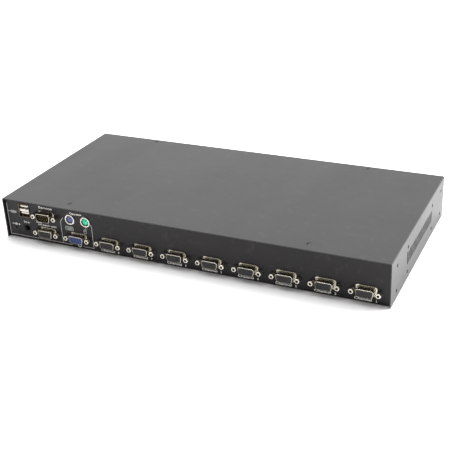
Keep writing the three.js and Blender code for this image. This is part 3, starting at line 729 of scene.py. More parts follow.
def build_ear_nuts():
    """Clinch nuts behind the rack-ear holes, from a profile of (radius, depth)."""
    profile = [(1.45, 0.0), (1.6, 0.15), (2.9, 0.15), (3.1, 0.35)]
    profile += [(3.1, 1.1), (2.9, 1.25), (1.6, 1.25), (1.45, 1.1)]

    def nuts(mesh):
        for side, place in itertools.product((-1, 1), EAR_HOLES):
            inside = side * (COVER_HIGH.x - SHEET)
            rings = []
            for radius, depth in profile:
                rings.append([(inside - side * depth, u, v) for u, v in circle(place, radius, 24)])
            loft(mesh, rings, closed=True)

    piece("rack_ear_clinch_nuts", nuts, NICKEL)


# ---------------------------------------------------------------- D-shaped connectors


def d_ring(mesh, size, path):
    """A closed D-shaped ring from a profile of (grow, y)."""
    loft(mesh, [ring_y(d_outline(size, grow), y) for grow, y in path], closed=True)


def d_shell(mesh, size):
    """A drawn shell, about its own centre on the wall's outer face."""
    rim, ease = -D_STAND_OUT, 0.06
    root = arc((SHELL_ROOT, FLANGE_Y - SHELL_ROOT), SHELL_ROOT, 90, 180, 5)
    lip = [(RIM_EASE[0] * (u - 1), rim + RIM_EASE[1] * (1 + v)) for u, v in arc((0, 0), 1, 0, -90, 7)]
    inner = arc((-SHELL_WALL + ease, rim + ease), ease, 270, 180, 2)
    d_ring(mesh, size, [(SHELL_ROOT, SHELL_BACK), *root, *lip, *inner, (-SHELL_WALL, SHELL_BACK)])


def d_flange(mesh):
    prism_y(mesh, around((0, 0), *FLANGE_SIZE, 8), (FLANGE_Y, SHELL_BACK))


def dimples(mesh, size):
    """The male shell's raised grounding dimples, as low domes on its long sides."""
    dome = ((0.85, -0.1), (0.8, 0.06), (0.55, 0.2), (0.2, 0.26))
    for x, side in itertools.product((-4.2, 0, 4.2), (-1, 1)):
        rings = []
        for radius, rise in dome:
            z = side * (size[1] / 2 - SHELL_WALL - rise)
            rings.append([(x + u, -2.6 + v, z) for u, v in circle((0, 0), radius, 16)])
        loft(mesh, rings)


def hex_ring(radius_limit, y, flats=JACK_FLATS, steps=48):
    """A hexagon whose corners are cut back to a circle."""
    ring = []
    for i in range(steps):
        angle = 2 * math.pi * i / steps
        wedge = (angle + math.pi / 6) % (math.pi / 3) - math.pi / 6
        radius = min(flats / 2 / math.cos(wedge), radius_limit)
        ring.append((radius * math.sin(angle), y, radius * math.cos(angle)))
    return ring


def jack_screw(mesh, x):
    """A hexagonal jack screw with a chamfered face and a blind bore."""
    front = -JACK_STAND_OUT
    corner = JACK_FLATS / math.sqrt(3)
    face, chamfer, steps = 2.0, 0.9, 6
    rings = [hex_ring(corner - 0.15, -0.05), hex_ring(corner, -0.2)]
    for i in range(steps, -1, -1):
        rings.append(hex_ring(face + (corner - face) * i / steps, front + chamfer * i / steps))
    rings += [hex_ring(radius, front + depth) for radius, depth in ((1.45, 0), (1.35, 0.1), (1.35, 4.2))]
    loft(mesh, [[(x + u, y, v) for u, y, v in ring] for ring in rings])


def jack_thread(mesh, x):
    """The thread that lines a jack screw's bore, in dark steel as painted shade for the depth of the bore.
    """
    front = -JACK_STAND_OUT
    profile = [(1.34, front + 4.1), (1.34, front + 0.3)]
    for i in range(6):
        y = front + 0.3 + i * 0.6
        profile += [(1.31, y), (1.12, y + 0.26), (1.12, y + 0.34), (1.31, y + 0.58)]
    lathe_y(mesh, profile, (x, 0), 32)


def contact_places(name):
    """Where a connector's contacts are, seen from in front."""
    if name == "serial":
        pitch, rows = 2.77, ((5, 0.0, 1.42), (4, 0.0, -1.42))
    else:
        pitch, rows = 2.29, ((5, 0.57, 1.98), (5, -0.57, 0.0), (5, 0.57, -1.98))
    return [((i - (count - 1) / 2) * pitch + shift, z) for count, shift, z in rows for i in range(count)]


def insulator_body(mesh, size, face_y):
    inner = -SHELL_WALL - 0.04
    path = [(inner, SHELL_BACK + INSULATOR_GAP + 0.5), (inner, face_y + 0.25)]
    path += [(inner - 0.07, face_y + 0.06), (inner - 0.25, face_y)]
    loft(mesh, [ring_y(d_outline(size, grow), y) for grow, y in path])


def insulator_block(mesh, node):
    """The moulded body behind the flange, with ribs, standing on its board."""
    low, high = span(node)
    outline = rectangle((low.x, high.x), (low.z, high.z), 0.4, 3)
    prism_y(mesh, outline, (WALL_Y + SHELL_BACK + INSULATOR_GAP, high.y))
    for x in (low.x + 2.5, high.x - 2.5):
        prism_z(mesh, rectangle((x - 0.6, x + 0.6), (high.y - 0.1, high.y)), (low.z, high.z - 1))


def build_d_connector(shell_node):
    insulator_node = shell_node.replace("shell", "insulator")
    name = shell_node.replace("_shell", "")
    male = name == "serial"
    size = D_PLUG if male else D_SOCKET
    x, z = spot(shell_node)
    at = (x, WALL_Y, z)
    face_y = 0.6 if male else -D_STAND_OUT + 0.15
    contact_spots = contact_places(name)

    def part(kind, shape, material, **settings):
        piece(f"{name}_{kind}", shape, material, at=at, **settings)

    def on_both_sides(draw):
        return lambda mesh: [draw(mesh, side * JACK_SPREAD) for side in (-1, 1)]

    def at_contacts(draw, profile, steps=14):
        return lambda mesh: [draw(mesh, profile, place, steps) for place in contact_spots]

    part("drawn_shell", solid(d_shell, size), SHADE_PAINTED_TIN, stands_for=shell_node)
    opening = solid(prism_y, d_outline(size, SHELL_ROOT + 0.03), (0, 4))
    part("flange", carve(solid(d_flange), opening), NICKEL, edge=0.1)
    part("jack_screws", on_both_sides(jack_screw), NICKEL)
    part("jack_threads", on_both_sides(jack_thread), BORE_SHADE_STEEL)

    body = solid(insulator_body, size, face_y)
    if male:
        part("shell_dimples", solid(dimples, size), TIN_PLATE)
    else:
        hole = [(0.85, face_y - 0.3), (0.58, face_y + 0.3), (0.58, face_y + 4)]
        body = carve(body, solid(at_contacts(turned_y, hole)))
    body.transform(shifted(at))
    insulator_block(body, insulator_node)
    bmesh.ops.recalc_face_normals(body, faces=body.faces)
    plastic = BLUE_PLASTIC if name == "console_video" else SOCKET_PLASTIC
    piece(f"{name}_moulded_body", body, plastic, stands_for=insulator_node)

    if male:
        tip = -D_STAND_OUT + 0.9
        pin = [(0.5, face_y - 0.02), (0.5, tip + 0.6), (0.42, tip + 0.2), (0.2, tip)]
        part("pins", at_contacts(turned_y, pin, 16), GOLD)
    else:
        front, back = face_y + 0.35, face_y + 3.5
        sleeve = [(0.5, front), (0.5, back), (0.26, back), (0.26, front)]
        part("contacts", at_contacts(lathe_y, sleeve), SHADED_CONTACT_PLATE)


# ---------------------------------------------------------------- other sockets


def build_mini_din(name, plastic):
    block_low, block_high = span(f"{name}_insert")
    x, z = din_centre(name)

    def part(kind, shape, material, **settings):
        piece(f"{name}_{kind}", shape, material, at=(x, WALL_Y, z), **settings)

    ring = [(4.4, 1.9), (4.4, -0.8), (4.46, -0.93), (4.6, -1.0), (5.15, -1.0), (5.33, -0.92)]
    ring += [(5.4, -0.75), (5.4, 1.1), (5.55, 1.3), (6.2, 1.3), (6.2, 1.9)]
    plate = solid(prism_y, rectangle((-7, 7), (-7, 6), 0.4), (1.32, 1.88))
    opening = solid(prism_y, circle((0, 0), DIN_HOLE, 64), (0, 4))
    shield = solid(lathe_y, ring, (0, 0), 64)
    part("shield_ring", shield, NICKEL, stands_for=f"{name}_shield")
    part("shield_plate", carve(plate, opening), TIN_PLATE)

    def core_cutters(mesh):
        for place in ((-1.2, -2.35), (1.2, -2.35), (-2.45, -0.4), (2.45, -0.4), (-1.75, 1.75), (1.75, 1.75)):
            turned_y(mesh, [(0.7, -0.4), (0.48, 0.3), (0.48, 4.5)], place, 14)
        prism_y(mesh, rectangle((-0.85, 0.85), (0.4, 2.1), 0.1), (-1, 5))

    core = [(3.4, DIN_BLOCK_Y), (3.4, 0.15), (3.33, 0.02), (3.15, -0.04)]
    part("core", carve(solid(turned_y, core, (0, 0), 56), solid(core_cutters)), plastic)

    def keys(mesh):
        """Three keys on the shield's inside."""
        for angle in (-90, 28, 152):
            key = solid(block, (3.95, 4.42), (-0.6, 7.0), (-0.75, 0.75))
            key.transform(Matrix.Rotation(math.radians(-angle), 4, "Y"))
            data = bpy.data.meshes.new("key")
            key.to_mesh(data)
            mesh.from_mesh(data)

    part("keys", keys, NICKEL)

    def body(mesh):
        """A solid block at the back, with four walls in front of it."""
        left, right = block_low.x, block_high.x
        foot, roof = block_low.z, block_high.z
        back = WALL_Y + DIN_BLOCK_Y
        prism_y(mesh, rectangle((left, right), (foot, roof), 0.5), (back, block_high.y))
        for across in ((left, left + DIN_WALL), (right - DIN_WALL, right)):
            prism_y(mesh, rectangle(across, (foot, roof), 0.3), (WALL_Y + 2.2, back))
        for upright in ((foot, foot + 1.5), (roof - 0.9, roof)):
            prism_y(mesh, rectangle((left + DIN_WALL, right - DIN_WALL), upright), (WALL_Y + 2.2, back))

    piece(f"{name}_body", body, plastic, stands_for=f"{name}_insert")


def build_usb():
    low, high = span("usb_shell")
    block_low, block_high = span("usb_insert")
    x, middle_z = spot("usb_shell")
    floors = [low.z + rise for rise in USB_FLOORS]
    roofs = [floor + USB_PORT_HEIGHT for floor in floors]
    tongue_front = low.y + USB_TONGUE_DEPTH

    def shell(mesh):
        """A folded tube, eased at its mouth."""
        path = [(0.0, high.y), (0.0, low.y + 0.15), (-0.08, low.y), (0.08 - USB_WALL, low.y)]
        path += [(-USB_WALL, low.y + 0.2), (-USB_WALL, high.y)]
        size = (high.x - low.x, high.z - low.z)
        tube_y(mesh, (x, middle_z), size, path, 0.8, 1.0, 5, closed=True)

    def moulding(mesh):
        """The block at the back and the divider between the ports."""
        across = (block_low.x, block_high.x)
        front = high.y - USB_BLOCK
        prism_y(mesh, rectangle(across, (block_low.z, block_high.z), 0.5), (front, block_high.y))
        divider = rectangle(across, (roofs[0], floors[1]), 0.3)
        prism_y(mesh, divider, (low.y + USB_DIVIDER_DEPTH, front + 0.1))

    def tongues(mesh):
        path = [(0.0, high.y - 5), (0.0, tongue_front + 0.3)]
        path += [(-0.15, tongue_front + 0.06), (-0.35, tongue_front)]
        for roof in roofs:
            centre = (x, roof - USB_TONGUE_DROP - USB_TONGUE / 2)
            tube_y(mesh, centre, (USB_TONGUE_WIDTH, USB_TONGUE), path, 0.25)

    def contacts(mesh):
        for roof, offset in itertools.product(roofs, (-3.5, -1.0, 1.0, 3.5)):
            under = roof - USB_TONGUE_DROP - USB_TONGUE
            left, right = x + offset - 0.5, x + offset + 0.5
            strip = rectangle((left, right), (under - 0.12, under + 0.05), 0.05)
            prism_y(mesh, strip, (tongue_front + 0.8, high.y - 5.5))

    def springs(mesh):
        """Two contact springs that rise from each port's floor and press on the plug."""
        for floor, offset in itertools.product(floors, (-2.6, 2.6)):
            rings = []
            for rise, depth in ((0.02, 0.8), (0.1, 2.0), (0.75, 5.0), (0.55, 6.0)):
                z = floor + rise
                strip = rectangle((x + offset - 0.9, x + offset + 0.9), (z - 0.02, z + 0.22))
                rings.append(ring_y(strip, low.y + depth))
            loft(mesh, rings)

    piece("usb_double_shell", shell, BRASS_PLATE, stands_for="usb_shell")
    piece("usb_moulding", moulding, CREAM_PLASTIC, stands_for="usb_insert", edge=0.08)
    piece("usb_tongues", tongues, CREAM_PLASTIC)
    piece("usb_contacts", contacts, GOLD)
    piece("usb_contact_springs", springs, BRASS_PLATE)


def build_dc_jack():
    x, z = spot("dc_jack_pin")
    bore = [(3.5, WALL_Y - 1), (3.5, WALL_Y + 0.1), (3.15, WALL_Y + 0.5), (3.15, WALL_Y + 11.3)]
    body = carve(solid(jack_housing, (x, z)), solid(turned_y, bore, (x, z), 40))
    piece("dc_jack_body", body, BLACK_PLASTIC, stands_for="dc_jack_housing")
    pin = [(1.0, WALL_Y + 11.0), (1.0, WALL_Y + 5.0), (0.85, WALL_Y + 4.55), (0.4, WALL_Y + 4.4)]
    piece("dc_jack_centre_pin", solid(turned_y, pin, (x, z), 24), NICKEL, stands_for="dc_jack_pin")

    def leaf(mesh):
        """The spring leaf in the side of the bore."""
        rings = []
        for lift, y in ((0.32, 2.0), (0.05, 4.0), (-0.35, 6.0), (0.2, 9.0)):
            near = x + 2.75 + lift
            strip = rectangle((near, near + 0.15), (z - 0.9, z + 0.9))
            rings.append(ring_y(strip, WALL_Y + y))
        loft(mesh, rings)

    piece("dc_jack_spring_leaf", leaf, NICKEL)


def jack_housing(mesh, centre):
    """The jack's block and its round nose as one closed skin: rings that pass from circle to block."""
    low, high = span("dc_jack_housing")
    nose, nose_edge = circle(centre, 3.85, 40), circle(centre, 3.7, 40)
    outline = around(spot("dc_jack_housing"), high.x - low.x, high.z - low.z, 0.5, 9)
    start = min(range(len(outline)), key=lambda i: (Vector(outline[i]) - Vector(nose[0])).length)
    outline = outline[start:] + outline[:start]
    rings = [(nose_edge, WALL_Y + 0.02), (nose, WALL_Y + 0.2), (nose, WALL_Y + 1.3)]
    rings += [(outline, WALL_Y + 1.3), (outline, high.y)]
    loft(mesh, [ring_y(ring, y) for ring, y in rings])


# ---------------------------------------------------------------- front controls


def build_buttons():
    retainer_back = BUTTON_WALL_Y - SHEET - 1.1
    for n, node in zip(PORTS, BUTTONS):
        low, high = span(node)
        centre = spot(node)

        def cap(mesh):
            path = [(0.0, low.y + 4.2), (0.0, high.y - 0.6), (-0.08, high.y - 0.32), (-0.25, high.y - 0.12)]
            path += [(-0.55, high.y), (-1.0, high.y - 0.02), (-1.8, high.y - 0.18), (-2.8, high.y - 0.3)]
            tube_y(mesh, centre, KEY_CAP, path, 1.2, 0.4)

        def retainer(mesh):
            """The flange behind the wall and the stem that meets the switch."""
            outline = rectangle((low.x, high.x), (low.z, high.z), 0.5)
            prism_y(mesh, outline, (retainer_back, retainer_back + 0.8))
            turned_y(mesh, [(1.55, low.y), (1.75, low.y + 0.2), (1.75, retainer_back)], centre, 20)

        piece(f"key_cap_{n}", cap, BUTTON_PLASTIC, f"button_{n}", node)
        piece(f"key_retainer_{n}", retainer, BUTTON_PLASTIC, f"button_{n}")


def build_reset():
    low, high = span("reset_button")
    profile = [(0.75, low.y), (0.95, low.y + 0.12), (1.08, low.y + 0.35), (1.08, high.y)]
    plunger = solid(turned_y, profile, spot("reset_button"), 24)
    piece("reset_plunger", plunger, BUTTON_PLASTIC, "reset", "reset_button")


def build_lights():
    low, high = span("light_guide")

    def guide(mesh):
        block(mesh, (low.x, high.x), (low.y, low.y + 2), (low.z, high.z), 0.3)
        pipe = [(1.4, low.y + 1.9), (1.4, high.y - 0.3), (1.15, high.y - 0.08), (0.6, high.y)]
        for node in BUTTONS:
            for place in pipe_places(node):
                turned_y(mesh, pipe, place, 24)

    piece("light_guide_moulding", guide, CLEAR_PLASTIC, stands_for="light_guide")

    back, front = (corner.y for corner in span("power_indicator"))
    profile = [(1.5, back), (1.5, front - 0.5), (1.2, front - 0.15), (0.6, front)]
    lamp = solid(turned_y, profile, spot("power_indicator"), 24)
    piece("power_light", lamp, CLEAR_PLASTIC, stands_for="power_indicator")


def segment(mesh, centre, upright, y):
    """One bar of a seven-segment figure."""
    half, thick = SEGMENT_LENGTH / 2, 0.55
    corners = [(-half, 0), (thick - half, -thick), (half - thick, -thick)]
    corners += [(-u, -v) for u, v in corners]
    if upright:
        corners = [(-v, u) for u, v in corners]
    prism_y(mesh, [(centre[0] + u, centre[1] + v) for u, v in corners], (y - 0.05, y))


def build_display():
    low, high = span("bank_display")
    x, z = spot("bank_display")
    lens = solid(block, (low.x, high.x), (low.y, high.y - 0.06), (low.z, high.z))
    piece("display_lens", lens, DISPLAY_PLASTIC, stands_for="bank_display", edge=0.2)
    bar = SEGMENT_LENGTH + 0.4

    def figure(mesh):
        for rise in (-bar, 0, bar):
            segment(mesh, (x, z + rise), False, high.y)
        for shift, rise in itertools.product((-bar / 2, bar / 2), repeat=2):
            segment(mesh, (x + shift, z + rise), True, high.y)

    piece("display_segments", figure, SEGMENT_PLASTIC)


# ---------------------------------------------------------------- printing


INK_THICKNESS = 0.04
INK_LAYER = 0.003  # by which one stroke lies in front of another
LABEL_Z = 3.2  # middle of the port labels
stroke_numbers = itertools.count()


def ink_depth(y):
    """The two faces of the next printed stroke, set off a hair from its neighbours so that none coincide."""
    front = y - INK_LAYER * (next(stroke_numbers) % 8)
    return front - INK_THICKNESS / 2, front + INK_THICKNESS / 2


def text_mesh(words, height, width, stroke):
    """Lettering in the built-in typeface, centred, lying in X and Z, facing -Y and stretched to a width."""
    curve = bpy.data.curves.new("lettering", "FONT")
    curve.body = words
    curve.align_x = "CENTER"
    curve.align_y = "CENTER"
    curve.size = height * 1.38
    curve.extrude = INK_THICKNESS / 2
    curve.offset = stroke
    curve.resolution_u = 3
    holder = bpy.data.objects.new("lettering", curve)
    bpy.context.collection.objects.link(holder)
    depsgraph = bpy.context.evaluated_depsgraph_get()
    data = bpy.data.meshes.new_from_object(holder.evaluated_get(depsgraph))
    bpy.data.objects.remove(holder)
    across = [vertex.co.x for vertex in data.vertices]
    stretch = width / (max(across) - min(across)) if width else 1.0
    data.transform(Matrix.Rotation(math.pi / 2, 4, "X") @ Matrix.Diagonal((stretch, 1, 1, 1)))
    return data


def write(mesh, words, x, z, height, y, width=0.0, stroke=0.045, facing=-1):
    """Prints words at a place, stretched to a width unless it is zero."""
    data = text_mesh(words, height, width, stroke)
    if facing > 0:
        data.transform(Matrix.Rotation(math.pi, 4, "Z"))
    data.transform(shifted((x, y, z)))
    mesh.from_mesh(data)


def line(mesh, points, width, y):
    """A printed line through points in X and Z."""
    for (x0, z0), (x1, z1) in zip(points, points[1:]):
        along = Vector((x1 - x0, z1 - z0)).normalized() * width / 2
        side = Vector((-along.y, along.x))
        start, end = Vector((x0, z0)) - along, Vector((x1, z1)) + along
        corners = [start - side, end - side, end + side, start + side]
        prism_y(mesh, [(c.x, c.y) for c in corners], ink_depth(y))


def framed(mesh, x, z, width, height, weight, y):
    """A printed rounded frame."""
    outer = around((x, z), width, height, height * 0.2)
    inner = around((x, z), width - 2 * weight, height - 2 * weight, height * 0.2 - weight * 0.6)
    y0, y1 = ink_depth(y)
    path = [(outer, y0), (outer, y1), (inner, y1), (inner, y0)]
    loft(mesh, [ring_y(outline, depth) for outline, depth in path], closed=True)


def ink_ring(mesh, x, z, outer, inner, y):
    """A printed ring."""
    y0, y1 = ink_depth(y)
    lathe_y(mesh, [(outer, y0), (outer, y1), (inner, y1), (inner, y0)], (x, z), 24)


def ink_patch(mesh, outline, y):
    """A printed patch with any outline."""
    prism_y(mesh, outline, ink_depth(y))


def panel_borders(mesh, y):
    left, right, bottom, divider, shoulder = -203.0, -100.2, 3.2, -137.2, 27.8
    lines = [
        [(left, 38.3), (left, bottom), (-126.2, bottom)],
        [(left, 29.6), (-200.6, 29.6)],
        [(divider, bottom), (divider, shoulder), (-134.2, 31.9)],
        [(-112.5, bottom), (right, bottom), (right, shoulder), (-102.6, 30.5)],
    ]
    for points in lines:
        line(mesh, points, 0.5, y)


def panel_labels(mesh, y):
    for n in PORTS:
        x = middle(f"computer_port_shell_{n}").x
        write(mesh, "Channel", x - 2.5, LABEL_Z, 2.4, y, 16.0, 0.06)
        write(mesh, str(n), x + 9.7, LABEL_Z, 2.4, y, stroke=0.07)
    write(mesh, "Service", middle("serial_shell").x + 0.4, 39.5, 2.4, y, 16.5)
    write(mesh, "Operator", -118.0, 38.5, 2.2, y, 14.6)
    write(mesh, "Link", -164.6, 22.4, 2.3, y, 6.5, 0.07)
    write(mesh, "to next unit", -154.6, 19.8, 2.1, y, 23.0)
    write(mesh, "DC in", middle("dc_jack_pin").x, 19.7, 1.9, y, 6.4)


def screen_picture(mesh, x, z, y):
    framed(mesh, x, z + 0.4, 4.2, 2.6, 0.5, y)
    line(mesh, [(x - 1.1, z - 1.5), (x + 1.1, z - 1.5)], 0.5, y)
    line(mesh, [(x, z - 0.9), (x, z - 1.3)], 0.8, y)


def polarity_picture(mesh, x, z, y):
    """Centre-positive sign: a minus, an open cup round a dot, and a plus."""
    line(mesh, [(x - 4.6, z), (x - 3.2, z)], 0.5, y)
    line(mesh, [(x - 2.7, z), (x - 1.4, z)], 0.35, y)
    ink_ring(mesh, x, z, 1.35, 0.95, y)
    ink_patch(mesh, circle((x, z), 0.5, 16), y)
    line(mesh, [(x + 0.4, z), (x + 2.7, z)], 0.35, y)
    line(mesh, [(x + 3.2, z), (x + 4.6, z)], 0.5, y)
    line(mesh, [(x + 3.9, z - 0.7), (x + 3.9, z + 0.7)], 0.5, y)


def keyboard_picture(mesh, x, z, y):
    framed(mesh, x, z, 9.6, 4.4, 0.45, y)
    for rise, count, width in ((1.0, 6, 0.95), (-0.05, 6, 0.95), (-1.1, 3, 1.3)):
        for i in range(count):
            key = around((x + (i - (count - 1) / 2) * (width + 0.4), z + rise), width, 0.7, 0.12, 2)
            ink_patch(mesh, key, y)


def mouse_picture(mesh, x, z, y):
    framed(mesh, x, z, 3.2, 4.5, 0.45, y)
    line(mesh, [(x, z + 1.9), (x, z + 0.6)], 0.4, y)
    line(mesh, [(x - 1.3, z + 0.5), (x + 1.3, z + 0.5)], 0.4, y)
    line(mesh, [(x, z + 2.4), (x + 1.2, z + 3.4), (x + 2.8, z + 3.5)], 0.45, y)


def plug_picture(mesh, x, z, y):
    framed(mesh, x - 0.6, z, 5.4, 2.8, 0.5, y)
    ink_patch(mesh, around((x + 2.9, z), 1.7, 1.7, 0.2, 2), y)
    line(mesh, [(x - 3.3, z), (x - 4.5, z)], 0.6, y)
    ink_patch(mesh, around((x - 0.6, z), 3.2, 0.9, 0.2, 2), y)


def build_panel_printing():
    y = WALL_Y - INK_THICKNESS / 2
    pictures = {
        "screen": (screen_picture, -117.0, 3.4, INK),
        "polarity": (polarity_picture, -194.4, 15.6, INK),
        "keyboard": (keyboard_picture, -127.3, 21.3, FAINT_INK),
        "mouse": (mouse_picture, -108.6, 20.6, FAINT_INK),
        "plug": (plug_picture, -195.6, 29.6, FAINT_INK),
    }
    piece("panel_border_printing", solid(panel_borders, y), LINE_INK)
    piece("panel_label_printing", solid(panel_labels, y), INK)
    for name, (draw, x, z, ink) in pictures.items():
        piece(f"{name}_pictogram", solid(draw, x, z, y), ink)


def build_fascia_printing():
    y = FASCIA_HIGH.y + INK_THICKNESS / 2

    def labels(mesh):
        for n, node in zip(PORTS, BUTTONS):
            write(mesh, str(n), middle(node).x, 10.6, 2.6, y, facing=1)
        write(mesh, "Power", middle("power_indicator").x, 15.2, 2.0, y, facing=1)
        write(mesh, "Bank", middle("bank_display").x, 9.8, 2.0, y, facing=1)

    piece("fascia_printing", labels, INK)


# ---------------------------------------------------------------- inside the case


BOARD = 1.6  # thickness
BOARD_CORNER = 1.0
# beside each port: shift, y, width, depth, height
CHIP_ROWS = ((0, -68, 10.3, 7.5, 2.3), (2, -46, 9, 9, 1.5))
# x, y, width, depth, height
MAIN_CHIPS = ((60, -14, 20, 20, 1.6), (30, -14, 14, 10, 1.6))
CONSOLE_CHIPS = ((-180, -60, 12, 12, 1.6), (-150, -58, 18, 7.5, 2.3))
LEAD_PITCH = 1.0
CAPACITORS = [(x, -10) for x in (-170, -158, -146)]
CRYSTAL = (84, -14)
RESISTOR_Y = -57
RESISTOR_PITCH = 2
RIBBON_HEADER = (34, 9, 8.5)  # length, depth, height
MAIN_HEADER_Y, BUTTON_HEADER_Z = 8, 15
SWITCH_SIDE, SWITCH_HEIGHT = 6, 3.4


def port_chips():
    places = [middle(f"computer_port_shell_{n}").x for n in PORTS]
    return [(x + shift, *rest) for x in places for shift, *rest in CHIP_ROWS]


def chip(mesh, x, y, width, depth, height, top):
    """A moulded package with drafted sides, standing a little off its board."""
    rings = []
    for inset, z in ((0.25, top + 0.12), (0.0, top + height * 0.5), (0.3, top + height)):
        outline = around((x, y), width - 2 - 2 * inset, depth - 2 - 2 * inset, 0.12, 2)
        rings.append([(u, v, z) for u, v in outline])
    loft(mesh, rings)


def chip_leads(mesh, x, y, width, depth, height, top):
    """Gull-wing leads: on the two long sides of a small package, and on all four sides of a square one."""
    sides = [(Vector((0, 1)), width, depth), (Vector((0, -1)), width, depth)]
    if width == depth:
        sides += [(Vector((1, 0)), depth, width), (Vector((-1, 0)), depth, width)]
    shoulder = top + height * 0.5
    profile = ((-1.05, shoulder), (-0.65, shoulder), (-0.45, top + 0.08), (0.0, top + 0.04))
    for out, length, across in sides:
        along = Vector((out.y, -out.x))
        count = int((length - 3) / LEAD_PITCH) + 1
        for i in range(count):
            foot = Vector((x, y)) + along * (i - (count - 1) / 2) * LEAD_PITCH
            rings = []
            for reach, z in profile:
                place = foot + out * (across / 2 + reach)
                left, right = (place - along * 0.2)[:], (place + along * 0.2)[:]
                rings.append([(*left, z), (*right, z), (*right, z + 0.14), (*left, z + 0.14)])
            loft(mesh, rings)


def each_chip(mesh, draw, chips, top):
    for place in chips:
        draw(mesh, *place, top)


def resistors(mesh, top, ends):
    """Rows of small resistors between the chips: their bodies, or the tinned ends."""
    half = 0.66 if ends else 0.6
    depths = ((-0.6, -0.1), (0.4, 0.9)) if ends else ((-0.62, 0.62),)
    for n, i in itertools.product(PORTS, range(6)):
        x = middle(f"computer_port_shell_{n}").x + (i - 2.5) * RESISTOR_PITCH
        for near, far in depths:
            block(mesh, (x - half, x + half), (RESISTOR_Y + near, RESISTOR_Y + far), (top, top + 0.5))


def capacitor_sleeves(mesh, top):
    profile = [(3.0, top + 0.05), (3.2, top + 0.3), (3.2, top + 1.0), (2.95, top + 1.3), (3.2, top + 1.6)]
    profile += [(3.2, top + 7.6), (2.95, top + 7.85), (2.6, top + 7.88)]
    for place in CAPACITORS:
        turned_z(mesh, profile, place, 32)


def capacitor_tops(mesh, top):
    for place in CAPACITORS:
        turned_z(mesh, [(2.55, top + 7.86), (2.55, top + 7.95), (2.4, top + 8.0)], place, 32)


def board_screws(mesh, top):
    for place in STANDOFFS:
        turned_z(mesh, [(2.7, top), (2.7, top + 0.9), (2.3, top + 1.5), (1.2, top + 1.75)], place, 32)


def board_screw_recesses(mesh, top):
    for place in STANDOFFS:
        cross_recess(mesh, place, (1.4, 0.4, top + 0.6), (2.4, 0.6, top + 2))


def board_holes(mesh, z):
    for place in STANDOFFS:
        turned_z(mesh, [(1.6, side) for side in z], place, 24)


def build_main_board():
    low, high = span("main_board")
    top = low.z + BOARD
    plate = solid(prism_z, rectangle((low.x, high.x), (low.y, high.y), BOARD_CORNER), (low.z, top))
    drilled = carve(plate, solid(board_holes, (low.z - 1, top + 1)))
    piece("main_board_laminate", drilled, SOLDER_MASK, stands_for="main_board")
    screws = carve(solid(board_screws, top), solid(board_screw_recesses, top))
    piece("board_screws", screws, NICKEL)
    chips = port_chips() + list(MAIN_CHIPS)
    piece("main_board_chips", solid(each_chip, chip, chips, top), CHIP_EPOXY)
    piece("main_board_chip_leads", solid(each_chip, chip_leads, chips, top), TIN_PLATE)
    piece("main_board_resistors", solid(resistors, top, False), RESISTOR_BODY)
    piece("main_board_resistor_ends", solid(resistors, top, True), TIN_PLATE)
    can = solid(prism_z, around(CRYSTAL, 11, 4.6, 2.25, 8), (top, top + 3.4))
    piece("crystal_can", can, NICKEL, edge=0.3)
    piece("capacitor_sleeves", solid(capacitor_sleeves, top), SLEEVE)
    piece("capacitor_tops", solid(capacitor_tops, top), ALUMINIUM)
    length, depth, height = RIBBON_HEADER
    header = solid(prism_z, around((0, MAIN_HEADER_Y), length, depth), (top, top + height))
    piece("main_board_header", header, BLACK_PLASTIC, edge=0.3)
    x, z = spot("reset_button")
    half = SWITCH_SIDE / 2
    front = span("reset_button")[1].y + 0.5
    switch = solid(block, (x - half, x + half), (front, front + SWITCH_HEIGHT), (top, z + half))
    piece("reset_switch", switch, CHIP_EPOXY, edge=0.25)


def build_console_board():
    low, high = span("console_board")
    top = low.z + BOARD
    plate = solid(prism_z, rectangle((low.x, high.x), (low.y, high.y), BOARD_CORNER), (low.z, top))
    piece("console_board_laminate", plate, SOLDER_MASK, stands_for="console_board")
    piece("console_board_chips", solid(each_chip, chip, CONSOLE_CHIPS, top), CHIP_EPOXY)
    piece("console_board_chip_leads", solid(each_chip, chip_leads, CONSOLE_CHIPS, top), TIN_PLATE)


def build_button_board():
    low, high = span("button_board")
    length, depth, height = RIBBON_HEADER
    back, face = low.y + height, high.y - SWITCH_HEIGHT
    plate = solid(prism_y, rectangle((low.x, high.x), (low.z, high.z), BOARD_CORNER), (back, face))
    piece("button_board_laminate", plate, SOLDER_MASK, stands_for="button_board")

    def frames(mesh):
        for node in BUTTONS:
            prism_y(mesh, around(spot(node), SWITCH_SIDE, SWITCH_SIDE, 0.4), (face, high.y - 0.7))

    def plungers(mesh):
        for node in BUTTONS:
            turned_y(mesh, [(1.75, face + 0.3), (1.75, high.y - 0.15), (1.6, high.y)], spot(node), 24)

    piece("tact_switch_frames", frames, NICKEL, edge=0.15)
    piece("tact_switch_plungers", plungers, BLACK_PLASTIC)
    upright = (BUTTON_HEADER_Z, BUTTON_HEADER_Z + depth)
    header = solid(block, (-length / 2, length / 2), (low.y, back), upright)
    piece("button_board_header", header, BLACK_PLASTIC, edge=0.3)


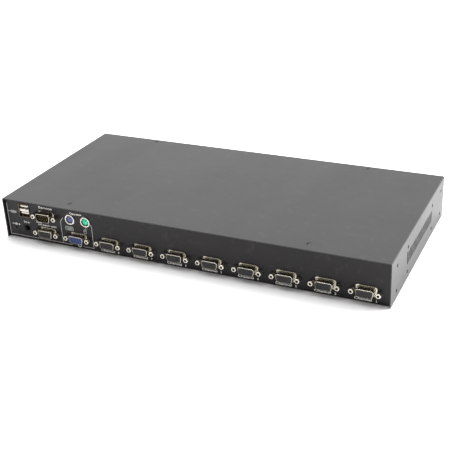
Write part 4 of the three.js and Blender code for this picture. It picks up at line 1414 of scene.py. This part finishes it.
def build_loose_parts():
    low, high = span("buzzer")
    radius = (high.x - low.x) / 2
    top = high.z
    profile = [(radius, low.z), (radius, top - 0.5), (radius - 0.15, top - 0.15), (radius - 0.5, top)]
    profile += [(1.2, top), (1.05, top - 0.15), (1.05, top - 1.5)]
    case = solid(turned_z, profile, middle("buzzer").xy, 48)
    piece("buzzer_case", case, BLACK_PLASTIC, stands_for="buzzer")

    for n in CORNERS:
        node = f"board_spacer_{n}"
        low, high = span(node)
        radius = max(high.x - low.x, high.y - low.y) / 2
        column = solid(prism_z, circle(middle(node).xy, radius, 6), (low.z, high.z))
        piece(f"hex_spacer_{n}", column, ALUMINIUM, stands_for=node, edge=0.25)

    finishes = {"ribbon_cable": RIBBON_VINYL, "board_link": BLACK_PLASTIC, "regulator_heat_sink": ALUMINIUM}
    for node, finish in finishes.items():
        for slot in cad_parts[node].material_slots:
            slot.material = finish


# ---------------------------------------------------------------- studio


WORLD_FRONT, WORLD_BACK = 0.22, 1.42  # brightness of the surroundings, from -Y to +Y
HORIZON = 0.95  # and all round, near the horizon
FLOOR_REACH = (-40000, 40000)


def build_studio():
    mesh = bmesh.new()
    block(mesh, FLOOR_REACH, FLOOR_REACH, (-20, -0.02))
    mesh.transform(Matrix.Scale(MM, 4))
    floor = new_object("studio_floor", mesh)
    floor.data.materials.append(studio_floor("pale studio floor"))

    world = bpy.data.worlds.new("soft studio")
    bpy.context.scene.world = world
    world.use_nodes = True
    tree = world.node_tree
    direction = tree.nodes.new("ShaderNodeTexCoord").outputs["Generated"]
    split = tree.nodes.new("ShaderNodeSeparateXYZ")
    tree.links.new(direction, split.inputs[0])
    strength = ramp(tree, split.outputs["Y"], (-0.8, 0.35), (WORLD_FRONT, WORLD_BACK))
    near_horizon = ramp(tree, split.outputs["Z"], (0.16, 0.36), (1, 0))
    mix = tree.nodes.new("ShaderNodeMix")
    tree.links.new(near_horizon, mix.inputs[0])
    tree.links.new(strength, mix.inputs[2])
    mix.inputs[3].default_value = HORIZON
    tree.links.new(mix.outputs[0], tree.nodes["Background"].inputs["Strength"])
    tree.nodes["Background"].inputs["Color"].default_value = rgb(1.0, 1.0, 1.0)

    add_light("overhead softbox", (-250, 330, 1900), (0, 0, 0), 1500, 36)
    add_light("right softbox", (1400, 900, 900), (300, 100, 0), 900, 46)
    bpy.context.scene.view_settings.view_transform = "Standard"


def ramp(tree, value, start_end, low_high):
    """A smooth step of the world's brightness."""
    node = tree.nodes.new("ShaderNodeMapRange")
    node.interpolation_type = "SMOOTHSTEP"
    for key, number in zip(("From Min", "From Max", "To Min", "To Max"), start_end + low_high):
        node.inputs[key].default_value = number
    tree.links.new(value, node.inputs["Value"])
    return node.outputs["Result"]


def add_light(name, place, target, size, power):
    data = bpy.data.lights.new(name, "AREA")
    data.size = size * MM
    data.energy = power
    light = bpy.data.objects.new(name, data)
    bpy.context.collection.objects.link(light)
    light.location = Vector(place) * MM
    light.rotation_euler = (Vector(target) - Vector(place)).to_track_quat("-Z", "Y").to_euler()


def build_camera():
    """The viewing angle: from the right of the connector side, and above."""
    azimuth, elevation, roll = (math.radians(angle) for angle in (26.24, 26.21, 2.94))
    distance, target = 887.6, Vector((19.3, -38.6, 22.0))
    level = math.cos(elevation)
    back = Vector((math.sin(azimuth) * level, -math.cos(azimuth) * level, math.sin(elevation)))
    data = bpy.data.cameras.new("camera")
    data.lens = 70.98
    data.sensor_width = 36
    data.clip_end = 50
    camera = bpy.data.objects.new("camera", data)
    bpy.context.collection.objects.link(camera)
    camera.location = (target + back * distance) * MM
    turn = back.to_track_quat("Z", "Y").to_matrix() @ Euler((0, 0, -roll)).to_matrix()
    camera.rotation_euler = turn.to_euler()
    bpy.context.scene.camera = camera


build_camera()
build_studio()
build_cover()
build_tray()
build_fascia()
build_cover_screws()
build_ear_nuts()
for connector in D_CONNECTORS:
    build_d_connector(connector)
build_mini_din("keyboard_port", PURPLE_PLASTIC)
build_mini_din("mouse_port", GREEN_PLASTIC)
build_usb()
build_dc_jack()
build_buttons()
build_reset()
build_lights()
build_display()
build_panel_printing()
build_fascia_printing()
build_main_board()
build_console_board()
build_button_board()
build_loose_parts()
